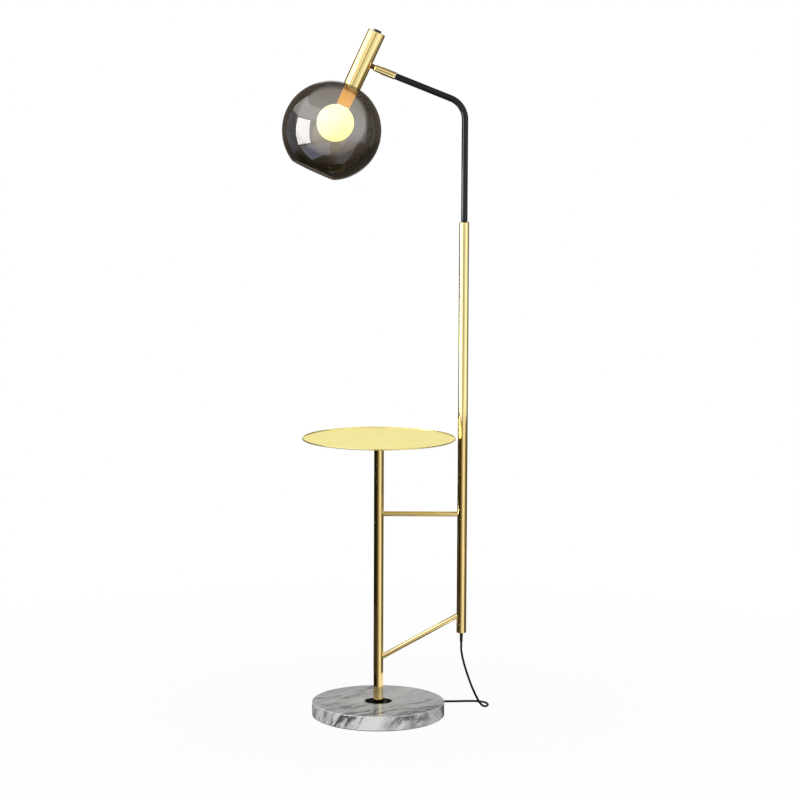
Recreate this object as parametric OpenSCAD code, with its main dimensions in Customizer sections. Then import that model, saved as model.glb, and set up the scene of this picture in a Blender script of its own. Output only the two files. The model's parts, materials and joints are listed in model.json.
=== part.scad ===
// Shelf floor lamp. A marble disc carries a short post with a round tray on top. A tall pole stands
// beside the post, held off the floor by two rungs. A slim bent arm rises out of the pole and ends in
// a swivel and tilt knuckle, which carries a tube head with a push switch, a round bulb and an open
// glass globe. Millimetres, +Z up, +Y away from the front.
// The origin is the centre of the underside of the base, on the axis of the table post.

/* [Base] */
// Diameter of the marble disc
base_d = 300; // [240:5:400]
// Thickness of the marble disc
base_t = 32; // [30:1:50]
// Rounding of the top edge of the marble
base_edge_r = 2.5; // [1:0.5:6]
// Thickness of the soft pad under the marble
pad_t = 2.5; // [1:0.5:5]
// How far the pad stays inside the edge of the marble
pad_inset = 6; // [2:1:20]
// Diameter of the black cup that is sunk into the marble round the post
cup_d = 64; // [50:1:90]
// Depth of the cup's seat in the marble
cup_h = 12; // [8:0.5:13]
// Wall of the cup
cup_wall = 2; // [1:0.5:4]
// Floor of the cup, which the post stands on
cup_floor = 3; // [2:0.5:5]
// Diameter of the threaded stud that pulls the post down
stud_d = 12; // [8:1:16]
// Diameter of the clamp plate under the marble
clamp_d = 50; // [40:1:70]
// Thickness of the clamp plate
clamp_t = 2; // [1:0.5:3]
// Thickness of the washer on the stud
washer_t = 1.5; // [1:0.5:2]
// Height of the nut on the stud
nut_h = 5; // [4:0.5:7]

/* [Table post and tray] */
// Outer diameter of the table post
post_d = 22; // [18:0.5:30]
// Wall of the table post and of the tall pole
tube_wall = 1.5; // [1:0.1:2.5]
// Length of the threaded plugs in the ends of the post
plug_len = 22; // [12:1:40]
// Height of the underside of the tray
tray_z = 635; // [520:1:760]
// Diameter of the tray
tray_d = 344; // [260:2:400]
// Thickness of the tray's sheet
tray_t = 1.5; // [1:0.5:4]
// Height of the tray's rolled rim above its sheet
tray_lip = 1.5; // [1:0.5:3.5]
// Thickness of the rolled rim
rim_t = 2; // [1.5:0.5:2]
// Diameter of the flange under the tray
flange_d = 60; // [40:1:120]
// Thickness of the flange under the tray
flange_t = 4.5; // [3:0.5:8]
// Diameter of the stud on the flange
tray_stud_d = 8; // [6:1:12]

/* [Pole and rungs] */
// Outer diameter of the tall pole
pole_d = 22; // [20:0.5:30]
// Clear gap between the tray and the pole
tray_gap = 4.5; // [1:0.5:20]
// Height of the pole's lower end above the floor
pole_bottom_z = 193; // [175:1:215]
// Height of the pole's upper end
pole_top_z = 1122; // [900:1:1280]
// Outer diameter of the two rungs
rung_d = 11.5; // [8:0.5:16]
// Wall of the rungs
rung_wall = 1.2; // [1:0.1:2]
// Height of the level rung
cross_rung_z = 465; // [300:1:580]
// Height of the sloping rung at the axis of the table post
brace_low_z = 131.5; // [80:0.5:160]
// Height of the sloping rung at the axis of the pole
brace_high_z = 237; // [228:0.5:290]
// Thickness of the cap under the pole
pole_cap_t = 3; // [2:0.5:6]
// Height of the collar on top of the pole
collar_t = 5; // [3:0.5:12]
// Depth of the collar's neck inside the pole
collar_neck = 34; // [28:1:60]
// Diameter of the screw that locks the arm
lock_screw_d = 5; // [3:0.5:6]

/* [Arm] */
// Outer diameter of the black arm
arm_d = 14.5; // [12:0.5:16]
// Wall of the arm
arm_wall = 1.5; // [1:0.1:2]
// Height where the two straight runs of the arm would meet
arm_corner_z = 1382; // [1300:1:1500]
// Slope of the arm's upper run
arm_slope = 21.5; // [5:0.5:45]
// Radius of the bend, along the middle of the arm
arm_bend_r = 50; // [30:1:90]
// Length from the corner to the arm's end
arm_end = 165; // [130:1:260]
// Depth of the arm inside the pole
arm_seat = 60; // [45:1:120]

/* [Swivel and knuckle] */
// Diameter of the swivel barrel
barrel_d = 17; // [16:0.5:22]
// Length of the barrel with its end ring
barrel_len = 50.7; // [48:0.1:70]
// Rounding of the barrel's forked end
barrel_round = 4; // [1:0.5:6]
// Length of the end ring that shows
ring_len = 5; // [3:0.5:8]
// How far the end ring stands out past the barrel
ring_proud = 0.2; // [0:0.1:1]
// Diameter of the spindle that the barrel turns on
spindle_d = 9; // [8:0.5:9]
// Diameter of the wire way through the spindle
wireway_d = 5; // [4:0.5:5.5]
// Distance from the tilt pivot to the end of the barrel
fork_reach = 10; // [8:0.5:11]
// Thickness of the tongue in the fork
tongue_t = 6; // [4:0.5:6.5]
// Width of the tongue and diameter of its neck
tongue_w = 11.5; // [9:0.5:13]
// Diameter of the tilt screw
pivot_d = 5; // [4:0.5:6]
// Thickness of each washer beside the tongue
knuckle_washer_t = 0.9; // [0.5:0.1:1]

/* [Head] */
// Outer diameter of the head tube
head_d = 40; // [36:0.5:50]
// Wall of the head tube
head_wall = 1.2; // [1:0.1:2]
// Length of the head tube
head_len = 126.5; // [110:0.5:180]
// Distance from the tilt pivot to the axis of the head tube
head_offset = 36.5; // [35:0.5:60]
// Distance from the neck down to the lower end of the head tube
neck_up = 56.5; // [40:0.5:66]
// Tilt of the head past square to the arm, as it stands
head_tilt = 3.25; // [-20:0.25:20]
// Height of the cap above the tube
cap_rise = 2.6; // [2:0.1:5]
// Depth of the cap's neck inside the tube
cap_neck = 14; // [13:0.5:20]
// Diameter of the push button
button_d = 17; // [12:0.5:20]
// How far the button stands out of the cap
button_rise = 5; // [3.5:0.5:10]
// Travel of the button
button_travel = 2.5; // [1:0.5:3]
// Depth of the switch body under the cap
switch_h = 21; // [16:0.5:26]

/* [Globe and lampholder] */
// Outer diameter of the glass globe
globe_d = 220; // [190:5:250]
// Thickness of the glass
glass_t = 3; // [2:0.5:5]
// Diameter of the globe's open mouth, outside
mouth_d = 105.6; // [92:0.2:140]
// Diameter of the hole at the top of the globe
fitter_d = 34; // [33:0.5:35]
// Outer diameter of the lampholder sleeve at its top
sleeve_top_d = 33; // [31.5:0.5:36]
// Outer diameter of the lampholder sleeve at its lower end
sleeve_low_d = 30.4; // [30:0.1:33]
// Length of the sleeve below the head tube
sleeve_len = 47.5; // [46:0.5:56]
// Diameter of the ring that clamps the glass
glass_ring_d = 38; // [36:0.5:44]
// Thickness of the ring that clamps the glass
glass_ring_t = 2.6; // [2:0.1:4]
// Diameter of the bulb
bulb_d = 82; // [60:1:90]
// Distance from the head tube down to the middle of the bulb
bulb_depth = 90; // [88:0.5:100]
// Diameter of the bulb's screw cap
bulb_cap_d = 25.2; // [24:0.1:25.4]

/* [Cord] */
// Diameter of the mains cord
cord_d = 5; // [4:0.1:5]
// Length of the tapered strain relief below the pole
relief_len = 22; // [20:1:40]
// Length of the plug's body
plug_body_len = 36; // [30:1:44]
// Width of the plug
plug_w = 26; // [22:1:30]
// Thickness of the plug
plug_h = 13; // [11:0.5:14]
// Diameter of the plug's pins
pin_d = 4; // [3:0.5:5]
// Length of the plug's pins
pin_len = 19; // [16:1:22]
// Distance between the plug's pins
pin_gap = 18.6; // [15:0.1:19]

/* [Hidden] */
$fn = 72;

// Clearances that every fit is made from
fit_gap = 0.05;     // parts that are pressed, screwed or brazed together
run_gap = 0.05;     // a shaft that turns in its bore
slide_gap = 0.1;    // the button in its guide
side_gap = 0.2;     // flat faces that pass each other
seat_gap = 0.3;     // glass on its seat, and ends that turn against each other
cut = 1;            // how far a cutting shape runs past the face that it cuts
lap = 0.5;          // how far a straight run reaches into the bend that it goes on from
bend_swell = 0.05;  // how much a tube's wall swells in a bend, to each side
join = 1;           // how far a shape reaches into the one that it is fused with
edge_round = 1;     // rounding of turned edges
fine_round = 0.5;   // rounding of small turned edges

// Heights in the base
marble_z = pad_t;
base_top_z = pad_t + base_t;
cup_z = base_top_z - cup_h;
post_z = cup_z + cup_floor;
stud_end_gap = 0.5;
pocket_h = clamp_t + washer_t + nut_h + stud_end_gap;
pocket_z = marble_z + pocket_h;
pocket_room = 3;
pocket_d = clamp_d + 2 * pocket_room;
stud_r = stud_d / 2;
stud_hole_r = stud_r + fit_gap;
stud_way_r = stud_r + 1;
nut_af = 1.6 * stud_d;
washer_d = 2 * stud_d;
washer_z = pocket_z - clamp_t - washer_t;
cup_r = cup_d / 2;
recess_chamfer = 0.8;
base_low_edge = 1.5;
stud_short = 4;

// Places of the post, the tray and the pole
tube_r = post_d / 2;
post_bore_r = tube_r - tube_wall;
flange_z = tray_z - flange_t;
pole_r = pole_d / 2;
pole_bore_r = pole_r - tube_wall;
pole_x = tray_d / 2 + tray_gap + pole_r;
pole_tube_z = pole_bottom_z + pole_cap_t;
collar_z = pole_top_z - collar_t;
lock_screw_down = 15;
lock_screw_z = collar_z - lock_screw_down;
lock_screw_in = 0.4;
lock_screw_socket = 1.6;
gland_wall = 1.5;
gland_r = cord_d / 2 + gland_wall;
pole_cap_neck = 10;
relief_root_r = gland_r - fit_gap;
relief_tip_wall = 0.4;
relief_tip_r = cord_d / 2 + relief_tip_wall;
relief_head_z = pole_tube_z + pole_cap_neck + fit_gap;
relief_head_t = 3;
relief_head_step = 2;
relief_head_r = relief_root_r + relief_head_step;
collar_round = 2;

// Places along the arm
arm_r = arm_d / 2;
arm_bore_r = arm_r - arm_wall;
arm_turn = 90 - arm_slope;
arm_tangent = arm_bend_r * tan(arm_turn / 2);
arm_bend_z = arm_corner_z - arm_tangent;
arm_foot_z = pole_top_z - arm_seat;

// Places along the swivel, measured from the corner of the arm
ring_s = arm_end + seat_gap;
barrel_s = ring_s + ring_len;
fork_s = ring_s + barrel_len;
pivot_s = fork_s - fork_reach;
barrel_r = barrel_d / 2;
cavity_wall = 1.7;
cavity_r = barrel_r - cavity_wall;
ring_neck = 4.5;
ring_neck_s = barrel_s + ring_neck;
ring_round = 0.8;
spindle_shank = 22;
spindle_r = spindle_d / 2;
wireway_r = wireway_d / 2;
cavity_room = 0.6;
thin_washer_t = 1;
spindle_flange_s = ring_neck_s + thin_washer_t + fit_gap;
spindle_flange_t = 3;
spring_washer_t = 2.2;
spring_washer_s = spindle_flange_s + spindle_flange_t + side_gap;
cavity_s = spring_washer_s + spring_washer_t + fit_gap;
hub_r = tongue_w / 2;
slot_room = 1.75;
slot_s = pivot_s - hub_r - slot_room;
slot_w = tongue_t + 2 * (side_gap + knuckle_washer_t + fit_gap);
pivot_r = pivot_d / 2;
pivot_head_step = 1.5;
pivot_head_r = pivot_r + pivot_head_step;
pivot_head_t = 2;
pivot_socket = 1.4;
pivot_head_in = 0.2;
pivot_skin = 1.2;
fork_corner = norm([fork_reach - barrel_round, barrel_r - barrel_round]) + barrel_round;
lead_r = 1.6;
lead_way_r = lead_r + side_gap;
lead_show = 1;
lead_slot = 2;

// The tilt pivot, and the head's own frame
pivot_at = [pole_x - pivot_s * cos(arm_slope), 0, arm_corner_z + pivot_s * sin(arm_slope)];
head_lean = arm_slope + head_tilt;
head_r = head_d / 2;
head_bore_r = head_r - head_wall;
stub_step = 0.85;
stub_r = hub_r - stub_step;
boss_room = 2.2;
boss_x = head_offset - fork_corner - boss_room;
stub_in = 8;
pivot_wall = 3.5;
tongue_nut_t = 5;
tongue_nut_r = 1.75 * stub_r;
tongue_nut_x = sqrt(pow(head_bore_r, 2) - pow(tongue_nut_r, 2)) - fit_gap - tongue_nut_t;

// Heights in the head, measured up from the lower end of the head tube
cap_top_z = head_len + cap_rise;
cap_neck_wall = 2.2;
cap_neck_in_r = head_bore_r - fit_gap - cap_neck_wall;
cap_edge = 0.2;
cap_floor = 2;
cap_guide_len = 7.7;
cap_guide_z = head_len - cap_guide_len;
guide_wall = 2.4;
button_r = button_d / 2;
button_flange_step = 2;
button_flange_r = button_r + button_flange_step;
button_flange_t = 1.5;
switch_top_z = cap_guide_z - fit_gap - button_flange_t - button_travel - seat_gap;
switch_z = switch_top_z - switch_h;
switch_rim_r = cap_neck_in_r - slide_gap;
switch_rim_t = 2.5;
switch_waist = 3.4;
switch_floor = 4;
stem_r = 3.1;
stem_len = 10;
terminal_y = 5;
terminal_t = 0.8;
terminal_w = 4.8;
terminal_len = 6;

// The globe and what clamps it. Heights go down from the lower end of the head tube
globe_r = globe_d / 2;
glass_in_r = globe_r - glass_t;
globe_z = -(sqrt(pow(globe_r, 2) - pow(head_bore_r, 2)) + seat_gap);
mouth_z = globe_z - sqrt(pow(globe_r, 2) - pow(mouth_d / 2, 2));
fitter_r = fitter_d / 2;
fitter_z = globe_z + sqrt(pow(globe_r, 2) - pow(fitter_r, 2));
ring_r = glass_ring_d / 2;
glass_ring_round = 0.8;
glass_ring_edge = 0.3;
glass_ring_z = globe_z + sqrt(pow(glass_in_r, 2) - pow(ring_r, 2)) - fit_gap * 2;
gasket_lip_t = 1.1;
gasket_wall = 0.8;
end_plug_z = fitter_z + fit_gap + gasket_lip_t + fit_gap;
end_plug_h = 11;
sleeve_neck_r = 12.95;
sleeve_neck_wall = 1.8;
shoulder_z = glass_ring_z - glass_ring_t - fit_gap;
shoulder_t = 2.4;
cap_r = bulb_cap_d / 2;
cap_wall = 0.5;
shell_wall = 0.4;
shell_in_r = cap_r + side_gap;
shell_r = shell_in_r + shell_wall;
holder_wall = 0.95;
holder_r = shell_r + fit_gap + holder_wall;
sleeve_in_r = holder_r + fit_gap;
holder_z = shoulder_z - shoulder_t - fit_gap;
holder_floor = 13;
socket_floor_z = holder_z - holder_floor;
holder_in = 3.5;
holder_end_z = -sleeve_len + holder_in;
shell_in = 1;
shell_end_z = holder_end_z + shell_in;
shell_floor = 1;
shell_lip = 3;
wire_hole_deep = 5;
contact_drop = 2;
contact_t = 0.5;
contact_w = 4;
contact_len = 8;
contact_leg = 1.5;
contact_foot_r = 3;
contact_foot_t = 0.9;
rivet_r = 1.6;
contact_z = socket_floor_z - contact_drop;
tip_z = contact_z - seat_gap;
tip_h = 5;
tip_in = 1;
tip_r = 6;
tip_stud_r = 4.6;
tip_stud_h = 1;
tip_stud_edge = 0.4;
cap_top = tip_z - tip_h;
cap_show = 1.5;
cap_low = -sleeve_len - cap_show;
bulb_z = -bulb_depth;
bulb_r = bulb_d / 2;
bulb_neck_step = 0.9;
bulb_neck_r = cap_r + bulb_neck_step;
bulb_neck_in = 8;
bulb_seat_r = cap_r - cap_wall - fit_gap;
bulb_wall = 1;

// The two wires in the head
wire_r = 1.2;
wire_sides = 8;
wire_y = terminal_y - terminal_t / 2 - wire_r - side_gap;
wire_top_z = switch_z - terminal_len / 2;
wire_hole_y = 5;
SWITCH_WIRE = [
    [12, 0, neck_up], [9, 0, neck_up], [5, 0, neck_up + 1.5], [3, 1, neck_up + 8],
    [2, 3, wire_top_z - 14], [0, 3, wire_top_z - 7], [0, wire_y, wire_top_z - 4], [0, wire_y, wire_top_z]
];
HOLDER_WIRE = [
    [0, -wire_y, wire_top_z], [0, -wire_y, wire_top_z - 5], [0, -6, wire_top_z - 13],
    [0, -7, wire_top_z - 26], [0, -7, 44], [0, -6, 24], [0, -wire_hole_y, 6],
    [0, -wire_hole_y, holder_z + 4], [0, -wire_hole_y, holder_z - 3]
];

// The cord. Its points are chosen by hand and stay as they are
cord_r = cord_d / 2;
relief_z = pole_bottom_z - relief_len;
CORD_DROP = [
    [187.5, 0, 171], [187.5, 0, 165], [188, 0, 150], [193, 4, 125], [201, 13, 97], [212, 26, 64],
    [225, 43, 32], [235, 57, 13], [245, 72, 4], [252, 92, 3], [246, 113, 3], [228, 124, 3],
    [203, 125, 3], [173, 122, 3], [143, 122, 3], [113, 129, 3], [83, 141, 3], [58, 151, 3],
    [39, 154.5, 3], [33, 154.5, 3], [27, 154.5, 3]
];
CORD_TAIL = [
    [13, 154.5, 8.6], [7, 154.5, 8.6], [-6, 154.7, 7.2], [-19, 155, 4.8], [-31, 155, 4.8],
    [-41, 155, 7], [-48, 155, 7]
];
CORD_SIDES = 10;
coil_at = [20, 194, 3];
coil_pitch = 5.5;
coil_layer = 5.6;
coil_least_r = 20.25;
coil_turns_in = 3.25;
coil_middle = coil_turns_in + 0.25;
coil_turns = 2 * coil_middle;
coil_rings = 24;
coil_sides = 6;
coil_lead = 7;
tie_w = 8;
tie_t = 0.35;
tie_gap = 0.1;
tie_slack = 1;
plug_at = [-48, 155, 7];
plug_taper = 12;
plug_tail_wall = 0.6;
plug_root_wall = 2.2;
plug_round = 4;
plug_face_t = 1;
plug_face_in = 0.8;
pin_round = 0.8;

// Vector and sweep functions
function unit(v) = v / norm(v);
function along(p, i) = unit(p[min(i + 1, len(p) - 1)] - p[max(i - 1, 0)]);
function square_to(n, t) = unit(n - (n * t) * t);
function sides_of(p, first) =
    [for (i = 0, n = square_to(first, along(p, 0)); i < len(p);
          i = i + 1, n = i < len(p) ? square_to(n, along(p, i)) : n) n];
function spline_at(a, b, c, d, t) =
    0.5 * (2 * b + (c - a) * t + (2 * a - 5 * b + 4 * c - d) * t * t
        + (3 * b - a - 3 * c + d) * t * t * t);
function spline(p, steps) =
    [for (i = [0:len(p) - 2]) for (k = [0:steps - 1])
        spline_at(p[max(i - 1, 0)], p[i], p[i + 1], p[min(i + 2, len(p) - 1)], k / steps),
     p[len(p) - 1]];
function tube_points(p, r, n, first) =
    let (side = sides_of(p, first))
    [for (i = [0:len(p) - 1]) for (k = [0:n - 1])
        let (t = along(p, i), a = 360 * k / n)
        p[i] + r * (cos(a) * side[i] + sin(a) * cross(t, side[i]))];
function tube_faces(rings, n) = concat(
    [for (k = [1:n - 2]) [0, k, k + 1]],
    [for (k = [1:n - 2]) [(rings - 1) * n, (rings - 1) * n + k + 1, (rings - 1) * n + k]],
    [for (i = [0:rings - 2]) for (k = [0:n - 1])
        let (a = i * n, b = a + n, next = (k + 1) % n)
        each [[a + k, b + k, b + next], [a + k, b + next, a + next]]]
);
function path_length(p, i = 0) = i >= len(p) - 1 ? 0 : norm(p[i + 1] - p[i]) + path_length(p, i + 1);

// The coil runs clockwise from its south point: in to the least radius on the floor, up one layer in
// the half turn where the spiral reverses, and out again on top
function ease(t) = let (u = max(0, min(1, t))) u * u * (3 - 2 * u);
function coil_radius(q) = coil_least_r + coil_pitch * abs(q - coil_middle);
function coil_point(q) =
    let (a = -90 - 360 * q, r = coil_radius(q))
    coil_at + [r * cos(a), r * sin(a), coil_layer * ease((q - coil_turns_in) / 0.5)];
function coil_path() =
    let (last = coil_turns * coil_rings, a = coil_point(0), b = coil_point(coil_turns))
    concat([a + [coil_lead, 0, 0]], [for (k = [0:last]) coil_point(k / coil_rings)],
        [b - [coil_lead, 0, 0]]);
coil_line = coil_path();
coil_gaps = [for (i = [0:len(coil_line) - 1]) for (k = [i + coil_rings / 2:1:len(coil_line) - 1])
    norm(coil_line[i] - coil_line[k])];
echo(cord_drop_mm = path_length(spline(CORD_DROP, 3)), cord_coil_mm = path_length(coil_line),
    cord_tail_mm = path_length(spline(CORD_TAIL, 2)), coil_least_gap_mm = min(coil_gaps) - cord_d);

module tube_along(p, r, n, first) {
    polyhedron(points = tube_points(p, r, n, first), faces = tube_faces(len(p), n), convexity = 8);
}

// A round bar from z0 to z1 with rounded lower and upper edges
module bar(r, z0, z1, low = 0, high = 0) {
    rotate_extrude() difference() {
        translate([0, z0]) square([r, z1 - z0]);
        if (low > 0) translate([r - low, z0 + low]) mirror([0, 1]) bar_corner(low);
        if (high > 0) translate([r - high, z1 - high]) bar_corner(high);
    }
}

module bar_corner(round) {
    difference() {
        square(round + cut);
        circle(round);
    }
}

module hole(r, z0, z1) {
    translate([0, 0, z0]) cylinder(r = r, h = z1 - z0);
}

module pipe(r, bore, z0, z1) {
    difference() {
        hole(r, z0, z1);
        hole(bore, z0 - cut, z1 + cut);
    }
}

module hex_bar(af, z0, z1) {
    translate([0, 0, z0]) cylinder(d = af / cos(30), h = z1 - z0, $fn = 6);
}

// Frames in which the pieces of the pole, the arm and the head are drawn
module at_pole() { translate([pole_x, 0, 0]) children(); }
module on_arm() { translate([pole_x, 0, arm_corner_z]) rotate([0, -arm_turn, 0]) children(); }
module on_pivot() { on_arm() translate([0, 0, pivot_s]) rotate([90, 0, 0]) children(); }
module in_head() {
    translate(pivot_at) rotate([0, head_lean, 0]) translate([-head_offset, 0, -neck_up]) children();
}
module on_neck() { translate([0, 0, neck_up]) rotate([0, 90, 0]) children(); }
module at_hub() { translate([head_offset, 0, neck_up]) rotate([90, 0, 0]) children(); }

// Base
module marble_base() {
    color("gainsboro") difference() {
        bar(base_d / 2, marble_z, base_top_z, base_low_edge, base_edge_r, $fn = 144);
        hole(cup_r, cup_z, base_top_z + cut);
        translate([0, 0, base_top_z - recess_chamfer])
            cylinder(r1 = cup_r, r2 = cup_r + 2 * recess_chamfer, h = 2 * recess_chamfer);
        hole(stud_way_r, marble_z, base_top_z);
        hole(pocket_d / 2, marble_z - cut, pocket_z);
    }
}

module base_pad() {
    color("dimgray") hole(base_d / 2 - pad_inset, 0, pad_t);
}

module recess_cup() {
    color("black") difference() {
        bar(cup_r - fit_gap, cup_z, base_top_z - recess_chamfer, 0, fine_round);
        hole(cup_r - cup_wall, post_z, base_top_z + cut);
        hole(stud_hole_r, cup_z - cut, base_top_z);
    }
}

module clamp_plate() {
    color("silver") pipe(clamp_d / 2, stud_hole_r, pocket_z - clamp_t, pocket_z);
}

module stud_washer() {
    color("silver") pipe(washer_d / 2, stud_hole_r, washer_z, washer_z + washer_t);
}

module stud_nut() {
    color("silver") difference() {
        hex_bar(nut_af, washer_z - nut_h, washer_z);
        hole(stud_hole_r, washer_z - nut_h - cut, washer_z + cut);
    }
}

module post_stud() {
    color("silver")
        bar(stud_r, marble_z + stud_end_gap, post_z + plug_len - stud_short, edge_round, edge_round);
}

module end_plug_in_post(z0, z1, bore) {
    pipe(post_bore_r - fit_gap, bore, z0, z1);
}

module post_foot_plug() {
    color("silver") end_plug_in_post(post_z, post_z + plug_len, stud_hole_r);
}

// Table post and tray
module table_post() {
    color("goldenrod") pipe(tube_r, post_bore_r, post_z, flange_z);
}

module post_top_plug() {
    color("silver") end_plug_in_post(flange_z - plug_len, flange_z, tray_stud_d / 2 + fit_gap);
}

module tray_flange() {
    color("goldenrod") {
        bar(flange_d / 2, flange_z, tray_z, edge_round, 0);
        bar(tray_stud_d / 2, flange_z - plug_len + stud_short, flange_z + join, edge_round, 0);
    }
}

module tray_plate() {
    rim = rim_t / 2;
    color("gold") rotate_extrude($fn = 144) {
        translate([0, tray_z]) square([tray_d / 2 - rim, tray_t]);
        translate([tray_d / 2 - rim_t, tray_z + rim]) square([rim_t, tray_t + tray_lip - rim_t]);
        for (z = [tray_z + rim, tray_z + tray_t + tray_lip - rim])
            translate([tray_d / 2 - rim, z]) circle(rim);
    }
}

// Pole and rungs
module rung(z0, z1) {
    span = norm([pole_x, z1 - z0]);
    rise = atan2(z1 - z0, pole_x);
    difference() {
        translate([0, 0, z0]) rotate([0, 90 - rise, 0]) pipe(rung_d / 2, rung_d / 2 - rung_wall, 0, span);
        translate([0, 0, z0 - span]) cylinder(r = tube_r + fit_gap, h = 2 * span);
        translate([pole_x, 0, z1 - span]) cylinder(r = pole_r + fit_gap, h = 2 * span);
    }
}

module cross_rung() {
    color("goldenrod") rung(cross_rung_z, cross_rung_z);
}

module diagonal_rung() {
    color("goldenrod") rung(brace_low_z, brace_high_z);
}

module lock_screw_hole() {
    translate([0, 0, lock_screw_z]) rotate([-90, 0, 0]) hole(lock_screw_d / 2 + fit_gap, 0, pole_r + cut);
}

module main_pole() {
    color("goldenrod") at_pole() difference() {
        pipe(pole_r, pole_bore_r, pole_tube_z, collar_z);
        lock_screw_hole();
    }
}

module pole_bottom_cap() {
    color("goldenrod") at_pole() difference() {
        union() {
            bar(pole_r, pole_bottom_z, pole_tube_z, pole_cap_t / 2, 0);
            hole(pole_bore_r - fit_gap, pole_bottom_z + join, pole_tube_z + pole_cap_neck);
        }
        hole(gland_r, pole_bottom_z - cut, pole_tube_z + pole_cap_neck + cut);
    }
}

module strain_relief() {
    color("black") at_pole() rotate_extrude() {
        polygon([[0, relief_z], [relief_tip_r, relief_z], [relief_root_r - side_gap, pole_bottom_z],
            [relief_root_r, pole_bottom_z], [relief_root_r, relief_head_z], [0, relief_head_z]]);
        translate([0, relief_head_z]) square([relief_head_r, relief_head_t]);
    }
}

module pole_top_collar() {
    color("gold") at_pole() difference() {
        union() {
            bar(pole_r, collar_z, pole_top_z, 0, collar_round);
            hole(pole_bore_r - fit_gap, collar_z - collar_neck, collar_z + join);
        }
        hole(arm_r + fit_gap, collar_z - collar_neck - cut, pole_top_z + cut);
        lock_screw_hole();
    }
}

module arm_lock_screw() {
    color("black") at_pole() translate([0, 0, lock_screw_z]) rotate([-90, 0, 0]) difference() {
        hole(lock_screw_d / 2, arm_r + fit_gap, pole_r - lock_screw_in);
        hex_bar(lock_screw_d / 2, pole_r - lock_screw_in - lock_screw_socket, pole_r + cut);
    }
}

// Arm
module at_bend() { translate([pole_x, 0, arm_bend_z]) children(); }
module past_bend() {
    translate([-arm_bend_r, 0, 0]) rotate([0, -arm_turn, 0]) translate([arm_bend_r, 0, 0]) children();
}
module arm_bend() {
    translate([-arm_bend_r, 0, 0]) rotate([90, 0, 0])
        rotate_extrude(angle = arm_turn) translate([arm_bend_r, 0]) children();
}

module arm_tube() {
    color("black") at_bend() {
        pipe(arm_r, arm_bore_r, arm_foot_z - arm_bend_z, lap);
        arm_bend() difference() {
            circle(arm_r + bend_swell);
            circle(arm_bore_r - bend_swell);
        }
        past_bend() pipe(arm_r, arm_bore_r, -lap, arm_end - arm_tangent);
    }
}

module arm_spindle() {
    flange_end = spindle_flange_s + spindle_flange_t;
    color("silver") on_arm() difference() {
        union() {
            hole(arm_bore_r - fit_gap, arm_end - spindle_shank, arm_end);
            hole(spindle_r, arm_end - join, flange_end);
            hole(cavity_r - cavity_room, spindle_flange_s, flange_end);
        }
        hole(wireway_r, arm_end - spindle_shank - cut, flange_end + cut);
    }
}

module inner_lead() {
    foot_z = relief_head_z + relief_head_t + seat_gap;
    color("white") at_bend() {
        hole(lead_r, foot_z - arm_bend_z, lap);
        arm_bend() circle(lead_r + bend_swell);
        past_bend() hole(lead_r, -lap, spindle_flange_s + spindle_flange_t + lead_show - arm_tangent);
    }
}

// Swivel and knuckle
module end_ring() {
    color("gold") on_arm() difference() {
        union() {
            bar(barrel_r + ring_proud, ring_s, barrel_s, ring_round, ring_round / 2);
            hole(cavity_r - fit_gap, barrel_s - join, ring_neck_s);
        }
        hole(spindle_r + run_gap, ring_s - cut, ring_neck_s + cut);
    }
}

module swivel_barrel() {
    color("goldenrod") difference() {
        on_arm() difference() {
            bar(barrel_r, barrel_s, fork_s, 0, barrel_round);
            hole(cavity_r, barrel_s - cut, cavity_s);
            hole(wireway_r, cavity_s - cut, slot_s + cut);
            translate([-barrel_r - cut, -slot_w / 2, slot_s])
                cube([barrel_d + 2 * cut, slot_w, fork_s - slot_s + cut]);
        }
        on_pivot() {
            hole(pivot_r + fit_gap, -barrel_r - cut, barrel_r - pivot_skin);
            hole(pivot_head_r + fit_gap, -barrel_r - cut, -barrel_r + pivot_head_in + pivot_head_t);
        }
    }
}

module swivel_washers() {
    thin_s = ring_neck_s + fit_gap / 2;
    rim_r = cavity_r - seat_gap;
    color("silver") on_arm() {
        pipe(rim_r, spindle_r + run_gap, thin_s, thin_s + thin_washer_t);
        pipe(rim_r, wireway_r + cavity_room, spring_washer_s, spring_washer_s + spring_washer_t);
    }
}

module knuckle_screw() {
    head_face = -barrel_r + pivot_head_in;
    color("goldenrod") on_pivot() difference() {
        union() {
            hole(pivot_r, head_face + join, barrel_r - pivot_skin - side_gap);
            bar(pivot_head_r, head_face, head_face + pivot_head_t, fine_round, 0);
        }
        hex_bar(pivot_r, head_face - cut, head_face + pivot_socket);
    }
}

module knuckle_washers() {
    inner = tongue_t / 2 + side_gap;
    color("white") on_pivot() for (z = [-inner - knuckle_washer_t, inner])
        pipe(hub_r - side_gap, pivot_r + run_gap, z, z + knuckle_washer_t);
}

module knuckle_tongue() {
    lead_way_x = head_offset - pivot_r - pivot_wall;
    color("saddlebrown") in_head() difference() {
        union() {
            at_hub() hole(hub_r, -tongue_t / 2, tongue_t / 2);
            translate([boss_x - join, -tongue_t / 2, neck_up - hub_r])
                cube([head_offset - boss_x + join, tongue_t, tongue_w]);
            on_neck() difference() {
                hole(hub_r, head_bore_r, boss_x);
                rotate([0, -90, 0]) cylinder(r = head_r + fit_gap, h = 4 * hub_r, center = true);
            }
            on_neck() hole(stub_r, head_bore_r - stub_in, boss_x);
        }
        at_hub() hole(pivot_r + run_gap, -tongue_t, tongue_t);
        on_neck() hole(lead_way_r, 0, lead_way_x + lead_slot);
        translate([lead_way_x, -tongue_t, neck_up - lead_way_r])
            cube([lead_slot, 2 * tongue_t, 2 * lead_way_r]);
    }
}

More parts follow.
